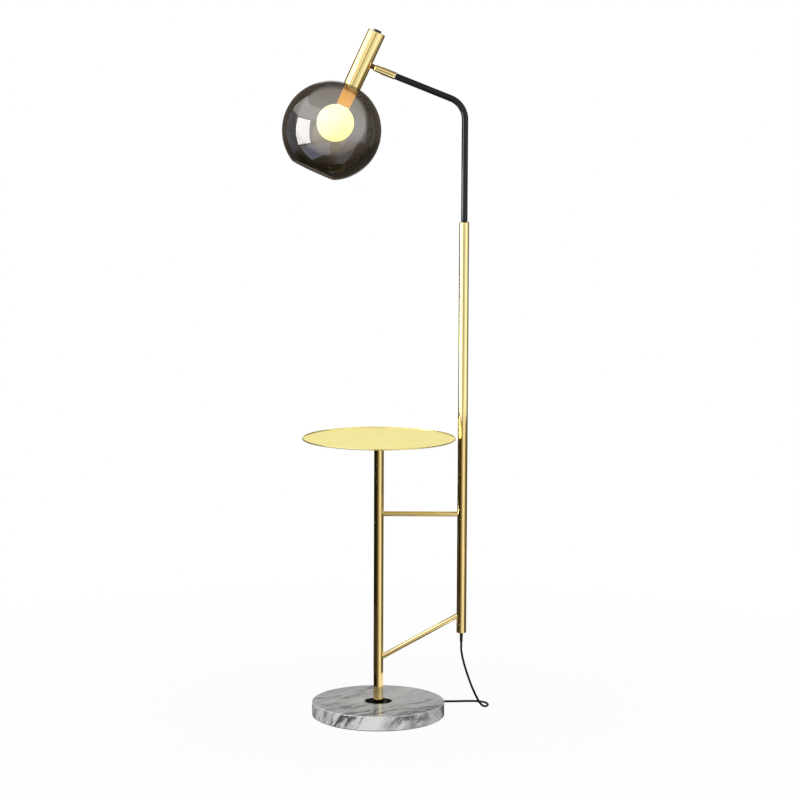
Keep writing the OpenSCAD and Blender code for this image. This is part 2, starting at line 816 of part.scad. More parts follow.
module tongue_nut() {
    end_x = tongue_nut_x + tongue_nut_t;
    color("silver") in_head() on_neck() difference() {
        hex_bar(2 * tongue_nut_r * cos(30), tongue_nut_x, end_x);
        hole(stub_r + fit_gap, tongue_nut_x - cut, end_x + cut);
    }
}

// Head
module head_tube() {
    color("goldenrod") in_head() difference() {
        pipe(head_r, head_bore_r, 0, head_len);
        on_neck() hole(stub_r + fit_gap, 0, head_r + cut);
    }
}

module head_cap() {
    color("gold") in_head() difference() {
        union() {
            bar(head_r, head_len, cap_top_z, 0, cap_rise - cap_edge);
            hole(head_bore_r - fit_gap, head_len - cap_neck, head_len + join);
        }
        difference() {
            hole(cap_neck_in_r, head_len - cap_neck - cut, head_len - cap_floor);
            hole(button_r + slide_gap + guide_wall, cap_guide_z, head_len);
        }
        hole(button_r + slide_gap, head_len - cap_neck - cut, cap_top_z + cut);
    }
}

module switch_button() {
    top = cap_top_z + button_rise;
    flange_top = cap_guide_z - fit_gap;
    color("black") in_head() {
        bar(button_r, flange_top - join, top, 0, edge_round);
        hole(button_flange_r, flange_top - button_flange_t, flange_top);
        hole(stem_r, flange_top - stem_len, flange_top);
    }
}

module switch_body() {
    color("dimgray") in_head() difference() {
        union() {
            hole(switch_rim_r, switch_top_z - switch_rim_t, switch_top_z);
            bar(switch_rim_r - switch_waist, switch_z, switch_top_z - join, edge_round, 0);
            for (y = [-terminal_y, terminal_y])
                translate([-terminal_w / 2, y - terminal_t / 2, switch_z - terminal_len])
                    cube([terminal_w, terminal_t, terminal_len + join]);
        }
        hole(stem_r + slide_gap, switch_z + switch_floor, switch_top_z + cut);
    }
}

// One wire runs from the neck up to the switch, the other from the switch down to the lampholder
module head_leads() {
    color("white") in_head() {
        tube_along(spline(SWITCH_WIRE, 2), wire_r, wire_sides, [0, 1, 0]);
        tube_along(spline(HOLDER_WIRE, 2), wire_r, wire_sides, [1, 0, 0]);
    }
}

module tube_end_plug() {
    color("silver") in_head()
        pipe(head_bore_r - fit_gap, sleeve_neck_r + fit_gap, end_plug_z, end_plug_z + end_plug_h);
}

// Lampholder and globe
module holder_sleeve() {
    color("goldenrod") in_head() difference() {
        rotate_extrude() {
            translate([0, shoulder_z - join])
                square([sleeve_neck_r, end_plug_z + end_plug_h - shoulder_z + join]);
            polygon([[0, -sleeve_len], [sleeve_low_d / 2, -sleeve_len], [sleeve_top_d / 2, shoulder_z],
                [0, shoulder_z]]);
        }
        hole(sleeve_in_r, -sleeve_len - cut, shoulder_z - shoulder_t);
        hole(sleeve_neck_r - sleeve_neck_wall, -sleeve_len, end_plug_z + end_plug_h + cut);
    }
}

module glass_ring() {
    color("gold") in_head() difference() {
        bar(ring_r, glass_ring_z - glass_ring_t, glass_ring_z, glass_ring_round, glass_ring_edge);
        hole(sleeve_neck_r + fit_gap, glass_ring_z - glass_ring_t - cut, glass_ring_z + cut);
    }
}

module glass_gasket() {
    lip_z = fitter_z + fit_gap;
    color("black") in_head() {
        pipe(head_bore_r - side_gap, fitter_r - gasket_wall, lip_z, lip_z + gasket_lip_t);
        pipe(fitter_r - fit_gap, fitter_r - gasket_wall, glass_ring_z + fit_gap, lip_z + gasket_lip_t / 2);
    }
}

// The mouth is cut square to the wall of the glass and melted round
module glass_globe() {
    mouth_rise = globe_z - mouth_z;
    cone_h = 2 * mouth_rise;
    middle = (globe_r - glass_t / 2) / globe_r;
    color([0.3, 0.28, 0.27, 0.5]) in_head() translate([0, 0, globe_z]) {
        difference() {
            sphere(globe_r, $fn = 144);
            sphere(glass_in_r, $fn = 144);
            hole(fitter_r, 0, globe_r + cut);
            translate([0, 0, -cone_h]) cylinder(r1 = mouth_d, r2 = 0, h = cone_h, $fn = 144);
        }
        rotate_extrude($fn = 144)
            translate([mouth_d / 2 * middle, -mouth_rise * middle]) circle(glass_t / 2);
    }
}

module lampholder_body() {
    color("white") in_head() difference() {
        hole(holder_r, holder_end_z, holder_z);
        hole(shell_r + fit_gap, holder_end_z - cut, socket_floor_z);
        for (y = [-wire_hole_y, wire_hole_y])
            translate([0, y, 0]) hole(wire_r + slide_gap, holder_z - wire_hole_deep, holder_z + cut);
    }
}

module screw_shell() {
    color("gold") in_head() difference() {
        hole(shell_r, shell_end_z, socket_floor_z - fit_gap);
        hole(shell_in_r, shell_end_z - cut, socket_floor_z - shell_floor);
        hole(shell_in_r - shell_lip, shell_end_z, socket_floor_z + cut);
    }
}

module centre_contact() {
    color("gold") in_head() {
        hole(contact_foot_r, socket_floor_z - contact_foot_t, socket_floor_z);
        translate([-contact_w / 2, -contact_w / 2, contact_z]) {
            cube([contact_len, contact_w, contact_t]);
            translate([contact_len - contact_leg, 0, 0]) cube([contact_leg, contact_w, contact_drop]);
        }
        hole(rivet_r, contact_z, socket_floor_z - contact_foot_t / 2);
    }
}

module bulb_tip() {
    color("dimgray") in_head() rotate_extrude() {
        polygon([[0, cap_top - tip_in], [bulb_seat_r, cap_top - tip_in], [bulb_seat_r, cap_top],
            [tip_r, tip_z - tip_stud_h], [tip_stud_r, tip_z - tip_stud_h],
            [tip_stud_r - tip_stud_edge, tip_z], [0, tip_z]]);
    }
}

module bulb_cap() {
    color("silver") in_head() pipe(cap_r, cap_r - cap_wall, cap_low, cap_top);
}

module bulb_glass() {
    throat_z = bulb_z + sqrt(pow(bulb_r, 2) - pow(bulb_neck_r, 2));
    color("lightyellow") in_head() difference() {
        union() {
            translate([0, 0, bulb_z]) sphere(bulb_r, $fn = 96);
            hole(bulb_neck_r, throat_z - join, cap_low - fit_gap);
            hole(bulb_seat_r, throat_z - join, cap_low + bulb_neck_in);
        }
        translate([0, 0, bulb_z]) sphere(bulb_r - bulb_wall, $fn = 96);
        hole(bulb_seat_r - bulb_wall, bulb_z, cap_low + bulb_neck_in + cut);
    }
}

// Cord, coil and plug
module cord_drop() {
    color("black") tube_along(spline(CORD_DROP, 3), cord_r, CORD_SIDES, [0, 1, 0]);
}

module cord_coil() {
    color("black") tube_along(coil_line, cord_r, coil_sides, [0, 0, 1]);
}

module cord_tail() {
    color("black") tube_along(spline(CORD_TAIL, 2), cord_r, CORD_SIDES, [0, 0, 1]);
}

// A strap round all the turns on the west side of the coil
module coil_tie() {
    near = coil_radius(coil_turns_in) - cord_r - tie_slack;
    far = coil_radius(0.25) + cord_r + seat_gap;
    low = coil_at[2] - cord_r - tie_gap;
    high = coil_at[2] + coil_layer + cord_r + seat_gap;
    room = [far - near, high - low];
    color("dimgray") translate([coil_at[0], coil_at[1] + tie_w / 2, 0]) rotate([90, 0, 0])
        linear_extrude(tie_w) difference() {
            translate([-far, low]) offset(delta = tie_t) square(room);
            translate([-far, low]) square(room);
        }
}

module plug_outline(grow = 0) {
    offset(r = plug_round + grow, $fn = 32)
        square([plug_h - 2 * plug_round, plug_w - 2 * plug_round], center = true);
}

module plug_body() {
    color("black") translate(plug_at) rotate([0, -90, 0]) {
        cylinder(r1 = cord_r + plug_tail_wall, r2 = cord_r + plug_root_wall, h = plug_taper + join);
        translate([0, 0, plug_taper]) {
            linear_extrude(plug_body_len - plug_face_t) plug_outline();
            translate([0, 0, plug_body_len - plug_face_t - join])
                linear_extrude(plug_face_t + join) plug_outline(-plug_face_in);
        }
    }
}

module plug_pins() {
    color("silver") translate(plug_at) rotate([0, -90, 0])
        for (y = [-pin_gap / 2, pin_gap / 2]) translate([0, y, 0])
            bar(pin_d / 2, plug_taper + plug_body_len, plug_taper + plug_body_len + pin_len, 0, pin_round);
}

marble_base();
base_pad();
recess_cup();
clamp_plate();
stud_washer();
stud_nut();
post_stud();
post_foot_plug();
table_post();
post_top_plug();
tray_flange();
tray_plate();
cross_rung();
diagonal_rung();
main_pole();
pole_bottom_cap();
strain_relief();
pole_top_collar();
arm_lock_screw();
arm_tube();
arm_spindle();
inner_lead();
end_ring();
swivel_barrel();
swivel_washers();
knuckle_screw();
knuckle_washers();
knuckle_tongue();
tongue_nut();
head_tube();
head_cap();
switch_button();
switch_body();
head_leads();
tube_end_plug();
holder_sleeve();
glass_ring();
glass_gasket();
glass_globe();
lampholder_body();
screw_shell();
centre_contact();
bulb_glass();
bulb_cap();
bulb_tip();
cord_drop();
cord_coil();
cord_tail();
coil_tie();
plug_body();
plug_pins();
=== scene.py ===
import json
import math

import bmesh
import bpy
from mathutils import Matrix, Vector

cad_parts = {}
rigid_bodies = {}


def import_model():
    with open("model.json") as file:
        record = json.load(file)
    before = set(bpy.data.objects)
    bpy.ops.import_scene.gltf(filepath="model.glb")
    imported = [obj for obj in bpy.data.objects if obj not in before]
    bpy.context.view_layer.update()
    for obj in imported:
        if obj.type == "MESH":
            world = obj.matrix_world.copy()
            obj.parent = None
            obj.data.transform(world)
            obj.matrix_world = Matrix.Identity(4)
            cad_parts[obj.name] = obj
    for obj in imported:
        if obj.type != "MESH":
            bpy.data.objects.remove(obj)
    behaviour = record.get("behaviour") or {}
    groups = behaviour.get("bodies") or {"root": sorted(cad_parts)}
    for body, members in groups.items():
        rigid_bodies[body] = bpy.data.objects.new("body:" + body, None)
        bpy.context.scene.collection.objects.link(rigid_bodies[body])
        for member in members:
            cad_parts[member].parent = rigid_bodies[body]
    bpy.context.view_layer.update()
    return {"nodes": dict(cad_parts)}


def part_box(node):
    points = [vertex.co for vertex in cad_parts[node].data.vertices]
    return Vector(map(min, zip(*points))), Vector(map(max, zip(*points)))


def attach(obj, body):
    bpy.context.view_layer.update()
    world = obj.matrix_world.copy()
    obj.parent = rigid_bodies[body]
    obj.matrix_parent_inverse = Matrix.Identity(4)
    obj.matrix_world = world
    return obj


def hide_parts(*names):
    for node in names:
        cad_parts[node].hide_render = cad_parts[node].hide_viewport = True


for left_over in list(bpy.data.objects):
    bpy.data.objects.remove(left_over)
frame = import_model()

# Camera
# It stands six metres in front at eye height, looks slightly down and is turned a little about its own
# axis. The long lens keeps the uprights of the tall lamp nearly parallel, as they are in the photograph.
camera_at = Vector((0.04666, -6.0317, 1.5382))
look_down = math.radians(7.695)
camera_roll = math.radians(0.236)
sensor_w = 36
lens_mm = 122.45
camera_data = bpy.data.cameras.new("camera")
camera_data.sensor_width = sensor_w
camera_data.lens = lens_mm
camera = bpy.data.objects.new("camera", camera_data)
bpy.context.scene.collection.objects.link(camera)
camera.matrix_world = (
    Matrix.Translation(camera_at)
    @ Matrix.Rotation(math.pi / 2 - look_down, 4, "X")
    @ Matrix.Rotation(camera_roll, 4, "Z")
)
bpy.context.scene.camera = camera
bpy.context.scene.view_settings.view_transform = "Standard"


# Mains cord
# A round two-core lead with a black PVC sheath that comes out of the foot of the tall pole, hangs to the
# floor and goes round behind the base, where its spare length is wound into a coil held by a strap.
cord_d = 0.005
MM = 0.001
CORD_DROP = [
    (187.5, 0, 171), (187.5, 0, 165), (188, 0, 150), (193, 4, 125), (201, 13, 97), (212, 26, 64),
    (225, 43, 32), (235, 57, 13), (245, 72, 4), (252, 92, 3), (246, 113, 3), (228, 124, 3),
    (203, 125, 3), (173, 122, 3), (143, 122, 3), (113, 129, 3), (83, 141, 3), (58, 151, 3),
    (39, 154.5, 3), (33, 154.5, 3), (27, 154.5, 3),
]
CORD_TAIL = [
    (13, 154.5, 8.6), (7, 154.5, 8.6), (-6, 154.7, 7.2), (-19, 155, 4.8), (-31, 155, 4.8),
    (-41, 155, 7), (-48, 155, 7),
]
coil_at = Vector((20, 194, 3)) * MM
coil_least_r = 0.02025
coil_pitch = 0.0055
coil_layer = 0.0056
coil_turns_in = 3.25
coil_climb = 0.5
coil_middle = coil_turns_in + coil_climb / 2
coil_points = 48
spline_steps = 6


def node(tree, kind, inputs=None, **settings):
    """Adds a node to a tree; each input gets a value, or a link if the value is another node's socket."""
    made = tree.nodes.new(kind)
    for key, value in settings.items():
        setattr(made, key, value)
    for key, value in (inputs or {}).items():
        if isinstance(value, bpy.types.NodeSocket):
            tree.links.new(value, made.inputs[key])
        else:
            made.inputs[key].default_value = value
    return made


def node_group(kind, name, inputs, outputs):
    """A node group with its named sockets, and its input and output nodes."""
    tree = bpy.data.node_groups.new(name, kind)
    for title, socket, value in inputs:
        made = tree.interface.new_socket(title, in_out="INPUT", socket_type="NodeSocket" + socket)
        if value is not None:
            made.default_value = value
    for title, socket in outputs:
        tree.interface.new_socket(title, in_out="OUTPUT", socket_type="NodeSocket" + socket)
    return tree, tree.nodes.new("NodeGroupInput").outputs, tree.nodes.new("NodeGroupOutput").inputs


def moulded_skin_group():
    """Grain, faint mottling and dust in the skin of moulded, drawn or painted pieces."""
    tree, given, made = node_group(
        "ShaderNodeTree", "moulded_skin",
        [("Vector", "Vector", None), ("Color", "Color", (0.1, 0.1, 0.1, 1)), ("Roughness", "Float", 0.5),
         ("Grain", "Float", 900), ("Depth", "Float", 0.1), ("Mottling", "Float", 0.15),
         ("Dust", "Float", 0.05)],
        [("Color", "Color"), ("Roughness", "Float"), ("Normal", "Vector")],
    )
    grain = node(tree, "ShaderNodeTexNoise",
                 {"Vector": given["Vector"], "Scale": given["Grain"], "Detail": 3, "Roughness": 0.6})
    patches = node(tree, "ShaderNodeTexNoise",
                   {"Vector": given["Vector"], "Scale": 38, "Detail": 5, "Roughness": 0.62})
    swing = node(tree, "ShaderNodeMapRange",
                 {"Value": patches.outputs["Fac"], "From Min": 0.3, "From Max": 0.7,
                  "To Min": -1, "To Max": 1})
    mottled = node(tree, "ShaderNodeMath", {0: swing.outputs["Result"], 1: given["Mottling"], 2: 1.0},
                   operation="MULTIPLY_ADD")
    toned = node(tree, "ShaderNodeVectorMath", {0: given["Color"], "Scale": mottled.outputs["Value"]},
                 operation="SCALE")
    specks = node(tree, "ShaderNodeTexNoise",
                  {"Vector": given["Vector"], "Scale": 420, "Detail": 2, "Roughness": 0.7})
    dust = node(tree, "ShaderNodeMapRange",
                {"Value": specks.outputs["Fac"], "From Min": 0.6, "From Max": 0.75,
                 "To Max": given["Dust"]})
    colour = node(tree, "ShaderNodeMix",
                  {0: dust.outputs["Result"], 6: toned.outputs["Vector"], 7: (0.45, 0.43, 0.4, 1)},
                  data_type="RGBA")
    rough = node(tree, "ShaderNodeMath", {0: swing.outputs["Result"], 1: 0.06, 2: given["Roughness"]},
                 operation="MULTIPLY_ADD", use_clamp=True)
    bump = node(tree, "ShaderNodeBump",
                {"Height": grain.outputs["Fac"], "Strength": given["Depth"], "Distance": 0.0004})
    tree.links.new(colour.outputs[2], made["Color"])
    tree.links.new(rough.outputs["Value"], made["Roughness"])
    tree.links.new(bump.outputs["Normal"], made["Normal"])
    return tree


moulded_skin = moulded_skin_group()


def shaded(name, constants=None):
    """A material with its tree and its Principled shader, whose plain values are set here."""
    made = bpy.data.materials.new(name)
    made.use_nodes = True
    shader = made.node_tree.nodes["Principled BSDF"]
    for key, value in (constants or {}).items():
        shader.inputs[key].default_value = value
    return made, made.node_tree, shader


def use_group(tree, shader, group, inputs, turn=(0, 0, 0)):
    """Places a surface group in a material, on object coordinates turned by the given angles."""
    place = node(tree, "ShaderNodeTexCoord")
    turned = node(tree, "ShaderNodeMapping", {"Vector": place.outputs["Object"], "Rotation": turn})
    placed = node(tree, "ShaderNodeGroup", node_tree=group)
    tree.links.new(turned.outputs["Vector"], placed.inputs["Vector"])
    for key, value in inputs.items():
        placed.inputs[key].default_value = value
    for output, target in (("Color", "Base Color"), ("Roughness", "Roughness"), ("Normal", "Normal")):
        tree.links.new(placed.outputs[output], shader.inputs[target])


def moulded(name, colour, roughness, constants=None, **values):
    """A material for moulded, drawn or painted pieces."""
    made, tree, shader = shaded(name, constants)
    inputs = {"Color": (*colour, 1), "Roughness": roughness}
    inputs.update({key.capitalize(): value for key, value in values.items()})
    use_group(tree, shader, moulded_skin, inputs)
    return made


def spline(points):
    """Points on one smooth curve through the chosen points, in metres."""
    chosen = [Vector(p) * MM for p in points]
    line = []
    for i in range(len(chosen) - 1):
        a, b, c, d = (chosen[max(0, min(k, len(chosen) - 1))] for k in range(i - 1, i + 3))
        for k in range(spline_steps):
            t = k / spline_steps
            line.append(0.5 * (2 * b + (c - a) * t + (2 * a - 5 * b + 4 * c - d) * t**2
                               + (3 * b - a - 3 * c + d) * t**3))
    return line + [chosen[-1]]


def ease(t):
    """Goes from 0 to 1 with a soft start and end."""
    u = min(max(t, 0), 1)
    return u * u * (3 - 2 * u)


def coil_line():
    """Seven turns: in to the least radius on the floor, up one layer, and out again on top."""
    line = []
    for k in range(round(2 * coil_middle * coil_points) + 1):
        turns = k / coil_points
        a = math.radians(-90 - 360 * turns)
        r = coil_least_r + coil_pitch * abs(turns - coil_middle)
        z = coil_layer * ease((turns - coil_turns_in) / coil_climb)
        line.append(coil_at + Vector((r * math.cos(a), r * math.sin(a), z)))
    return line


cord_line = spline(CORD_DROP) + coil_line() + spline(CORD_TAIL)
cord_curve = bpy.data.curves.new("mains_cord", "CURVE")
cord_curve.dimensions = "3D"
cord_curve.bevel_depth = cord_d / 2
cord_curve.bevel_resolution = 5
cord_curve.use_fill_caps = True
cord_run = cord_curve.splines.new("POLY")
cord_run.points.add(len(cord_line) - 1)
for point, at in zip(cord_run.points, cord_line):
    point.co = (*at, 1)
mains_cord = bpy.data.objects.new("mains_cord", cord_curve)
bpy.context.scene.collection.objects.link(mains_cord)
cord_sheath = moulded("cord_sheath", (0.005, 0.005, 0.0055), 0.5, {"Specular IOR Level": 0.15},
                      grain=700, depth=0.12, dust=0.01)
mains_cord.data.materials.append(cord_sheath)
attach(mains_cord, "stand")
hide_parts("cord_drop", "cord_coil", "cord_tail")


# Strain relief
# A tapered black rubber boot that is moulded on the cord and pushed up through the cap of the pole.
# Rings moulded round it let it bend in an even curve; a hidden shoulder inside the cap takes the pull.
pole_x = 0.1875
relief_tip_z = 0.171
relief_root_z = 0.193
relief_tip_r = 0.0029
relief_root_r = 0.0038
relief_rings = 6
relief_ring_r = 0.0005
sharp_from = math.radians(40)


def geometry_tree(name, inputs):
    """A geometry node tree that takes and gives a Geometry socket beside its named sizes."""
    return node_group("GeometryNodeTree", name, [("Geometry", "Geometry", None)] + inputs,
                      [("Geometry", "Geometry")])


def made_by(tree, name, sizes, source=None):
    """Runs a geometry tree with the given sizes, on a source if it needs one, and keeps its plain mesh."""
    holder = source or bpy.data.objects.new(name + "_source", bpy.data.meshes.new(name + "_source"))
    bpy.context.scene.collection.objects.link(holder)
    modifier = holder.modifiers.new(name, "NODES")
    modifier.node_group = tree
    sockets = {s.name: s.identifier for s in tree.interface.items_tree if s.in_out == "INPUT"}
    for title, value in sizes.items():
        modifier[sockets[title]] = value
    bpy.context.view_layer.update()
    graph = bpy.context.evaluated_depsgraph_get()
    mesh = bpy.data.meshes.new_from_object(holder.evaluated_get(graph))
    mesh.name = name
    mesh.set_sharp_from_angle(angle=sharp_from)
    made = bpy.data.objects.new(name, mesh)
    bpy.context.scene.collection.objects.link(made)
    holder.modifiers.remove(modifier)
    bpy.data.objects.remove(holder)
    return made


def ringed_taper_tree():
    """A tapered plug with round rings at even steps, which leave a share of each end bare."""
    bare_share = 0.08
    tree, given, made = geometry_tree("ringed_taper", [
        ("Root radius", "Float", 0.004), ("Tip radius", "Float", 0.003), ("Length", "Float", 0.02),
        ("Rings", "Int", 6), ("Ring radius", "Float", 0.0006), ("Material", "Material", None)])
    body = node(tree, "GeometryNodeMeshCone",
                {"Vertices": 64, "Side Segments": 12, "Radius Top": given["Root radius"],
                 "Radius Bottom": given["Tip radius"], "Depth": given["Length"]})
    inner = node(tree, "ShaderNodeMath", {0: given["Length"], 1: 1 - 2 * bare_share}, operation="MULTIPLY")
    start = node(tree, "ShaderNodeMath", {0: given["Length"], 1: bare_share}, operation="MULTIPLY")
    foot = node(tree, "ShaderNodeCombineXYZ", {"Z": start.outputs[0]})
    top_z = node(tree, "ShaderNodeMath", {0: start.outputs[0], 1: inner.outputs[0]}, operation="ADD")
    top = node(tree, "ShaderNodeCombineXYZ", {"Z": top_z.outputs[0]})
    line = node(tree, "GeometryNodeMeshLine",
                {"Count": given["Rings"], "Start Location": foot.outputs[0], "Offset": top.outputs[0]},
                mode="END_POINTS")
    path = node(tree, "GeometryNodeCurvePrimitiveCircle", {"Resolution": 64, "Radius": 1.0})
    where = node(tree, "GeometryNodeInputPosition")
    height = node(tree, "ShaderNodeSeparateXYZ", {"Vector": where.outputs[0]})
    radius = node(tree, "ShaderNodeMapRange",
                  {"Value": height.outputs["Z"], "From Max": given["Length"],
                   "To Min": given["Tip radius"], "To Max": given["Root radius"]})
    rings = node(tree, "GeometryNodeInstanceOnPoints",
                 {"Points": line.outputs["Mesh"], "Instance": path.outputs["Curve"],
                  "Scale": radius.outputs["Result"]})
    loose = node(tree, "GeometryNodeRealizeInstances", {"Geometry": rings.outputs["Instances"]})
    section = node(tree, "GeometryNodeCurvePrimitiveCircle",
                   {"Resolution": 16, "Radius": given["Ring radius"]})
    tubes = node(tree, "GeometryNodeCurveToMesh",
                 {"Curve": loose.outputs["Geometry"], "Profile Curve": section.outputs["Curve"]})
    joined = node(tree, "GeometryNodeJoinGeometry")
    tree.links.new(tubes.outputs["Mesh"], joined.inputs[0])
    tree.links.new(body.outputs["Mesh"], joined.inputs[0])
    smooth = node(tree, "GeometryNodeSetShadeSmooth", {"Geometry": joined.outputs[0]})
    whole = node(tree, "GeometryNodeRealizeInstances", {"Geometry": smooth.outputs[0]})
    dressed = node(tree, "GeometryNodeSetMaterial",
                   {"Geometry": whole.outputs[0], "Material": given["Material"]})
    tree.links.new(dressed.outputs[0], made["Geometry"])
    return tree


ringed_taper = ringed_taper_tree()
boot_rubber = moulded("boot_rubber", (0.008, 0.008, 0.0085), 0.6, {"Specular IOR Level": 0.25},
                      grain=1200, depth=0.2, dust=0.03)
strain_boot = made_by(ringed_taper, "strain_boot", {
    "Root radius": relief_root_r, "Tip radius": relief_tip_r, "Length": relief_root_z - relief_tip_z,
    "Rings": relief_rings, "Ring radius": relief_ring_r, "Material": boot_rubber})
strain_boot.data.transform(Matrix.Translation((pole_x, 0, relief_tip_z)))
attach(strain_boot, "stand")
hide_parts("strain_relief")


# Plug
# A flat two-pin mains plug: a black thermoplastic body moulded round the cord's end and two round pins.
# Grip grooves run round its middle, and its tail tapers down on the cord in rings.
plug_at = Vector((-48, 155, 7)) * MM
plug_taper = 0.012
plug_len = 0.036
plug_w = 0.026
plug_h = 0.013
plug_corner = 0.004
tail_root_r = 0.0047
tail_tip_r = 0.0031
tail_rings = 4
tail_ring_r = 0.0006
grooves = 5
groove_start = 0.006
groove_step = 0.0032
SHOULDER = ((0.0, 0.80), (0.0008, 0.90), (0.002, 0.97), (0.0035, 1.0))
GROOVE = ((0.0, 1.0), (0.0005, 0.965), (0.0013, 0.965), (0.0018, 1.0))
PIN_FACE = ((-0.0012, 1.0), (-0.0004, 0.985), (0.0, 0.95))


def rounded_ring(width, height, corner, sides=12):
    """Points round a rectangle with round corners, in its own plane."""
    ring = []
    for k, (sx, sy) in enumerate(((1, 1), (-1, 1), (-1, -1), (1, -1))):
        middle = Vector((sx * (width / 2 - corner), sy * (height / 2 - corner)))
        for i in range(sides):
            a = math.radians(90 * (k + i / (sides - 1)))
            ring.append(middle + corner * Vector((math.cos(a), math.sin(a))))
    return ring


def lofted(name, rings, material):
    """A closed skin through rings of points that have the same count, with flat ends."""
    mesh = bpy.data.meshes.new(name)
    count = len(rings[0])
    points = [p for ring in rings for p in ring]
    faces = [[i * count + k, i * count + (k + 1) % count, (i + 1) * count + (k + 1) % count,
              (i + 1) * count + k] for i in range(len(rings) - 1) for k in range(count)]
    faces.append(list(range(count))[::-1])
    faces.append([(len(rings) - 1) * count + k for k in range(count)])
    mesh.from_pydata(points, [], faces)
    shape = bmesh.new()
    shape.from_mesh(mesh)
    bmesh.ops.remove_doubles(shape, verts=shape.verts, dist=1e-7)
    bmesh.ops.recalc_face_normals(shape, faces=shape.faces)
    shape.to_mesh(mesh)
    shape.free()
    mesh.shade_smooth()
    mesh.set_sharp_from_angle(angle=sharp_from)
    mesh.materials.append(material)
    made = bpy.data.objects.new(name, mesh)
    bpy.context.scene.collection.objects.link(made)
    return made


def plug_rings():
    """Sections along the plug body: a round shoulder, the grooves of the grip and the pin face."""
    stations = list(SHOULDER)
    for k in range(grooves):
        stations += [(groove_start + groove_step * k + x, share) for x, share in GROOVE]
    stations += [(plug_len + x, share) for x, share in PIN_FACE]
    rings = []
    for x, share in stations:
        shrink = (1 - share) * plug_h
        ring = rounded_ring(plug_h - shrink, plug_w - shrink, plug_corner - shrink / 2)
        rings.append([plug_at + Vector((-plug_taper - x, p.y, p.x)) for p in ring])
    return rings


plug_plastic = moulded("plug_plastic", (0.016, 0.016, 0.017), 0.48, grain=1100, depth=0.25, dust=0.06)
plug_grip = lofted("plug_grip", plug_rings(), plug_plastic)
plug_tail = made_by(ringed_taper, "plug_tail", {
    "Root radius": tail_root_r, "Tip radius": tail_tip_r, "Length": plug_taper, "Rings": tail_rings,
    "Ring radius": tail_ring_r, "Material": plug_plastic})
plug_tail.data.transform(Matrix.Translation(plug_at) @ Matrix.Rotation(-math.pi / 2, 4, "Y"))
for piece in (plug_grip, plug_tail):
    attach(piece, "stand")
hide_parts("plug_body")


def plated_skin_group():
    """A polished plating: fine polishing lines, soft hand smudges and small changes of tone."""
    tree, given, made = node_group(
        "ShaderNodeTree", "plated_skin",
        [("Vector", "Vector", None), ("Color", "Color", (0.9, 0.7, 0.3, 1)), ("Roughness", "Float", 0.2),
         ("Lines", "Float", 0.05), ("Smudges", "Float", 0.08), ("Tone", "Float", 0.06)],
        [("Color", "Color"), ("Roughness", "Float"), ("Normal", "Vector")],
    )
    stretched = node(tree, "ShaderNodeVectorMath", {0: given["Vector"], 1: (60, 60, 2600)},
                     operation="MULTIPLY")
    lines = node(tree, "ShaderNodeTexNoise",
                 {"Vector": stretched.outputs["Vector"], "Scale": 1, "Detail": 3, "Roughness": 0.65})
    smudges = node(tree, "ShaderNodeTexNoise",
                   {"Vector": given["Vector"], "Scale": 26, "Detail": 6, "Roughness": 0.6,
                    "Distortion": 0.8})
    smear = node(tree, "ShaderNodeMapRange",
                 {"Value": smudges.outputs["Fac"], "From Min": 0.42, "From Max": 0.68,
                  "To Max": given["Smudges"]})
    rough = node(tree, "ShaderNodeMath", {0: given["Roughness"], 1: smear.outputs["Result"]},
                 operation="ADD", use_clamp=True)
    drift = node(tree, "ShaderNodeTexNoise", {"Vector": given["Vector"], "Scale": 7, "Detail": 3})
    swing = node(tree, "ShaderNodeMapRange",
                 {"Value": drift.outputs["Fac"], "From Min": 0.35, "From Max": 0.65,
                  "To Min": -1, "To Max": 1})
    toned = node(tree, "ShaderNodeMath", {0: swing.outputs["Result"], 1: given["Tone"], 2: 1.0},
                 operation="MULTIPLY_ADD")
    colour = node(tree, "ShaderNodeVectorMath", {0: given["Color"], "Scale": toned.outputs["Value"]},
                  operation="SCALE")
    bump = node(tree, "ShaderNodeBump",
                {"Height": lines.outputs["Fac"], "Strength": given["Lines"], "Distance": 0.00005})
    tree.links.new(colour.outputs["Vector"], made["Color"])
    tree.links.new(rough.outputs["Value"], made["Roughness"])
    tree.links.new(bump.outputs["Normal"], made["Normal"])
    return tree


plated_skin = plated_skin_group()


def plated(name, colour, roughness, turn=(0, 0, 0), constants=None, **values):
    """A material for plated, polished or bare metal."""
    made, tree, shader = shaded(name, {"Metallic": 1.0, **(constants or {})})
    inputs = {"Color": (*colour, 1), "Roughness": roughness}
    inputs.update({key.capitalize(): value for key, value in values.items()})
    use_group(tree, shader, plated_skin, inputs, turn)
    return made


def dress(material, *names):
    """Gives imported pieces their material."""
    for name in names:
        frame["nodes"][name].data.materials[0] = material


pin_plate = plated("pin_plate", (0.72, 0.70, 0.66), 0.18, turn=(0, math.pi / 2, 0), smudges=0.12)
dress(pin_plate, "plug_pins")


# Coil strap
# A woven strap with a hook face, eight millimetres wide, wrapped once round all the turns of the coil.
# Its end laps over its start at an upper corner, where it is pressed down to close.
strap_w = 0.008
strap_t = 0.0005
strap_low, strap_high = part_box("coil_tie")
strap_corner = 0.0026
lap_points = 6
lift_points = 4


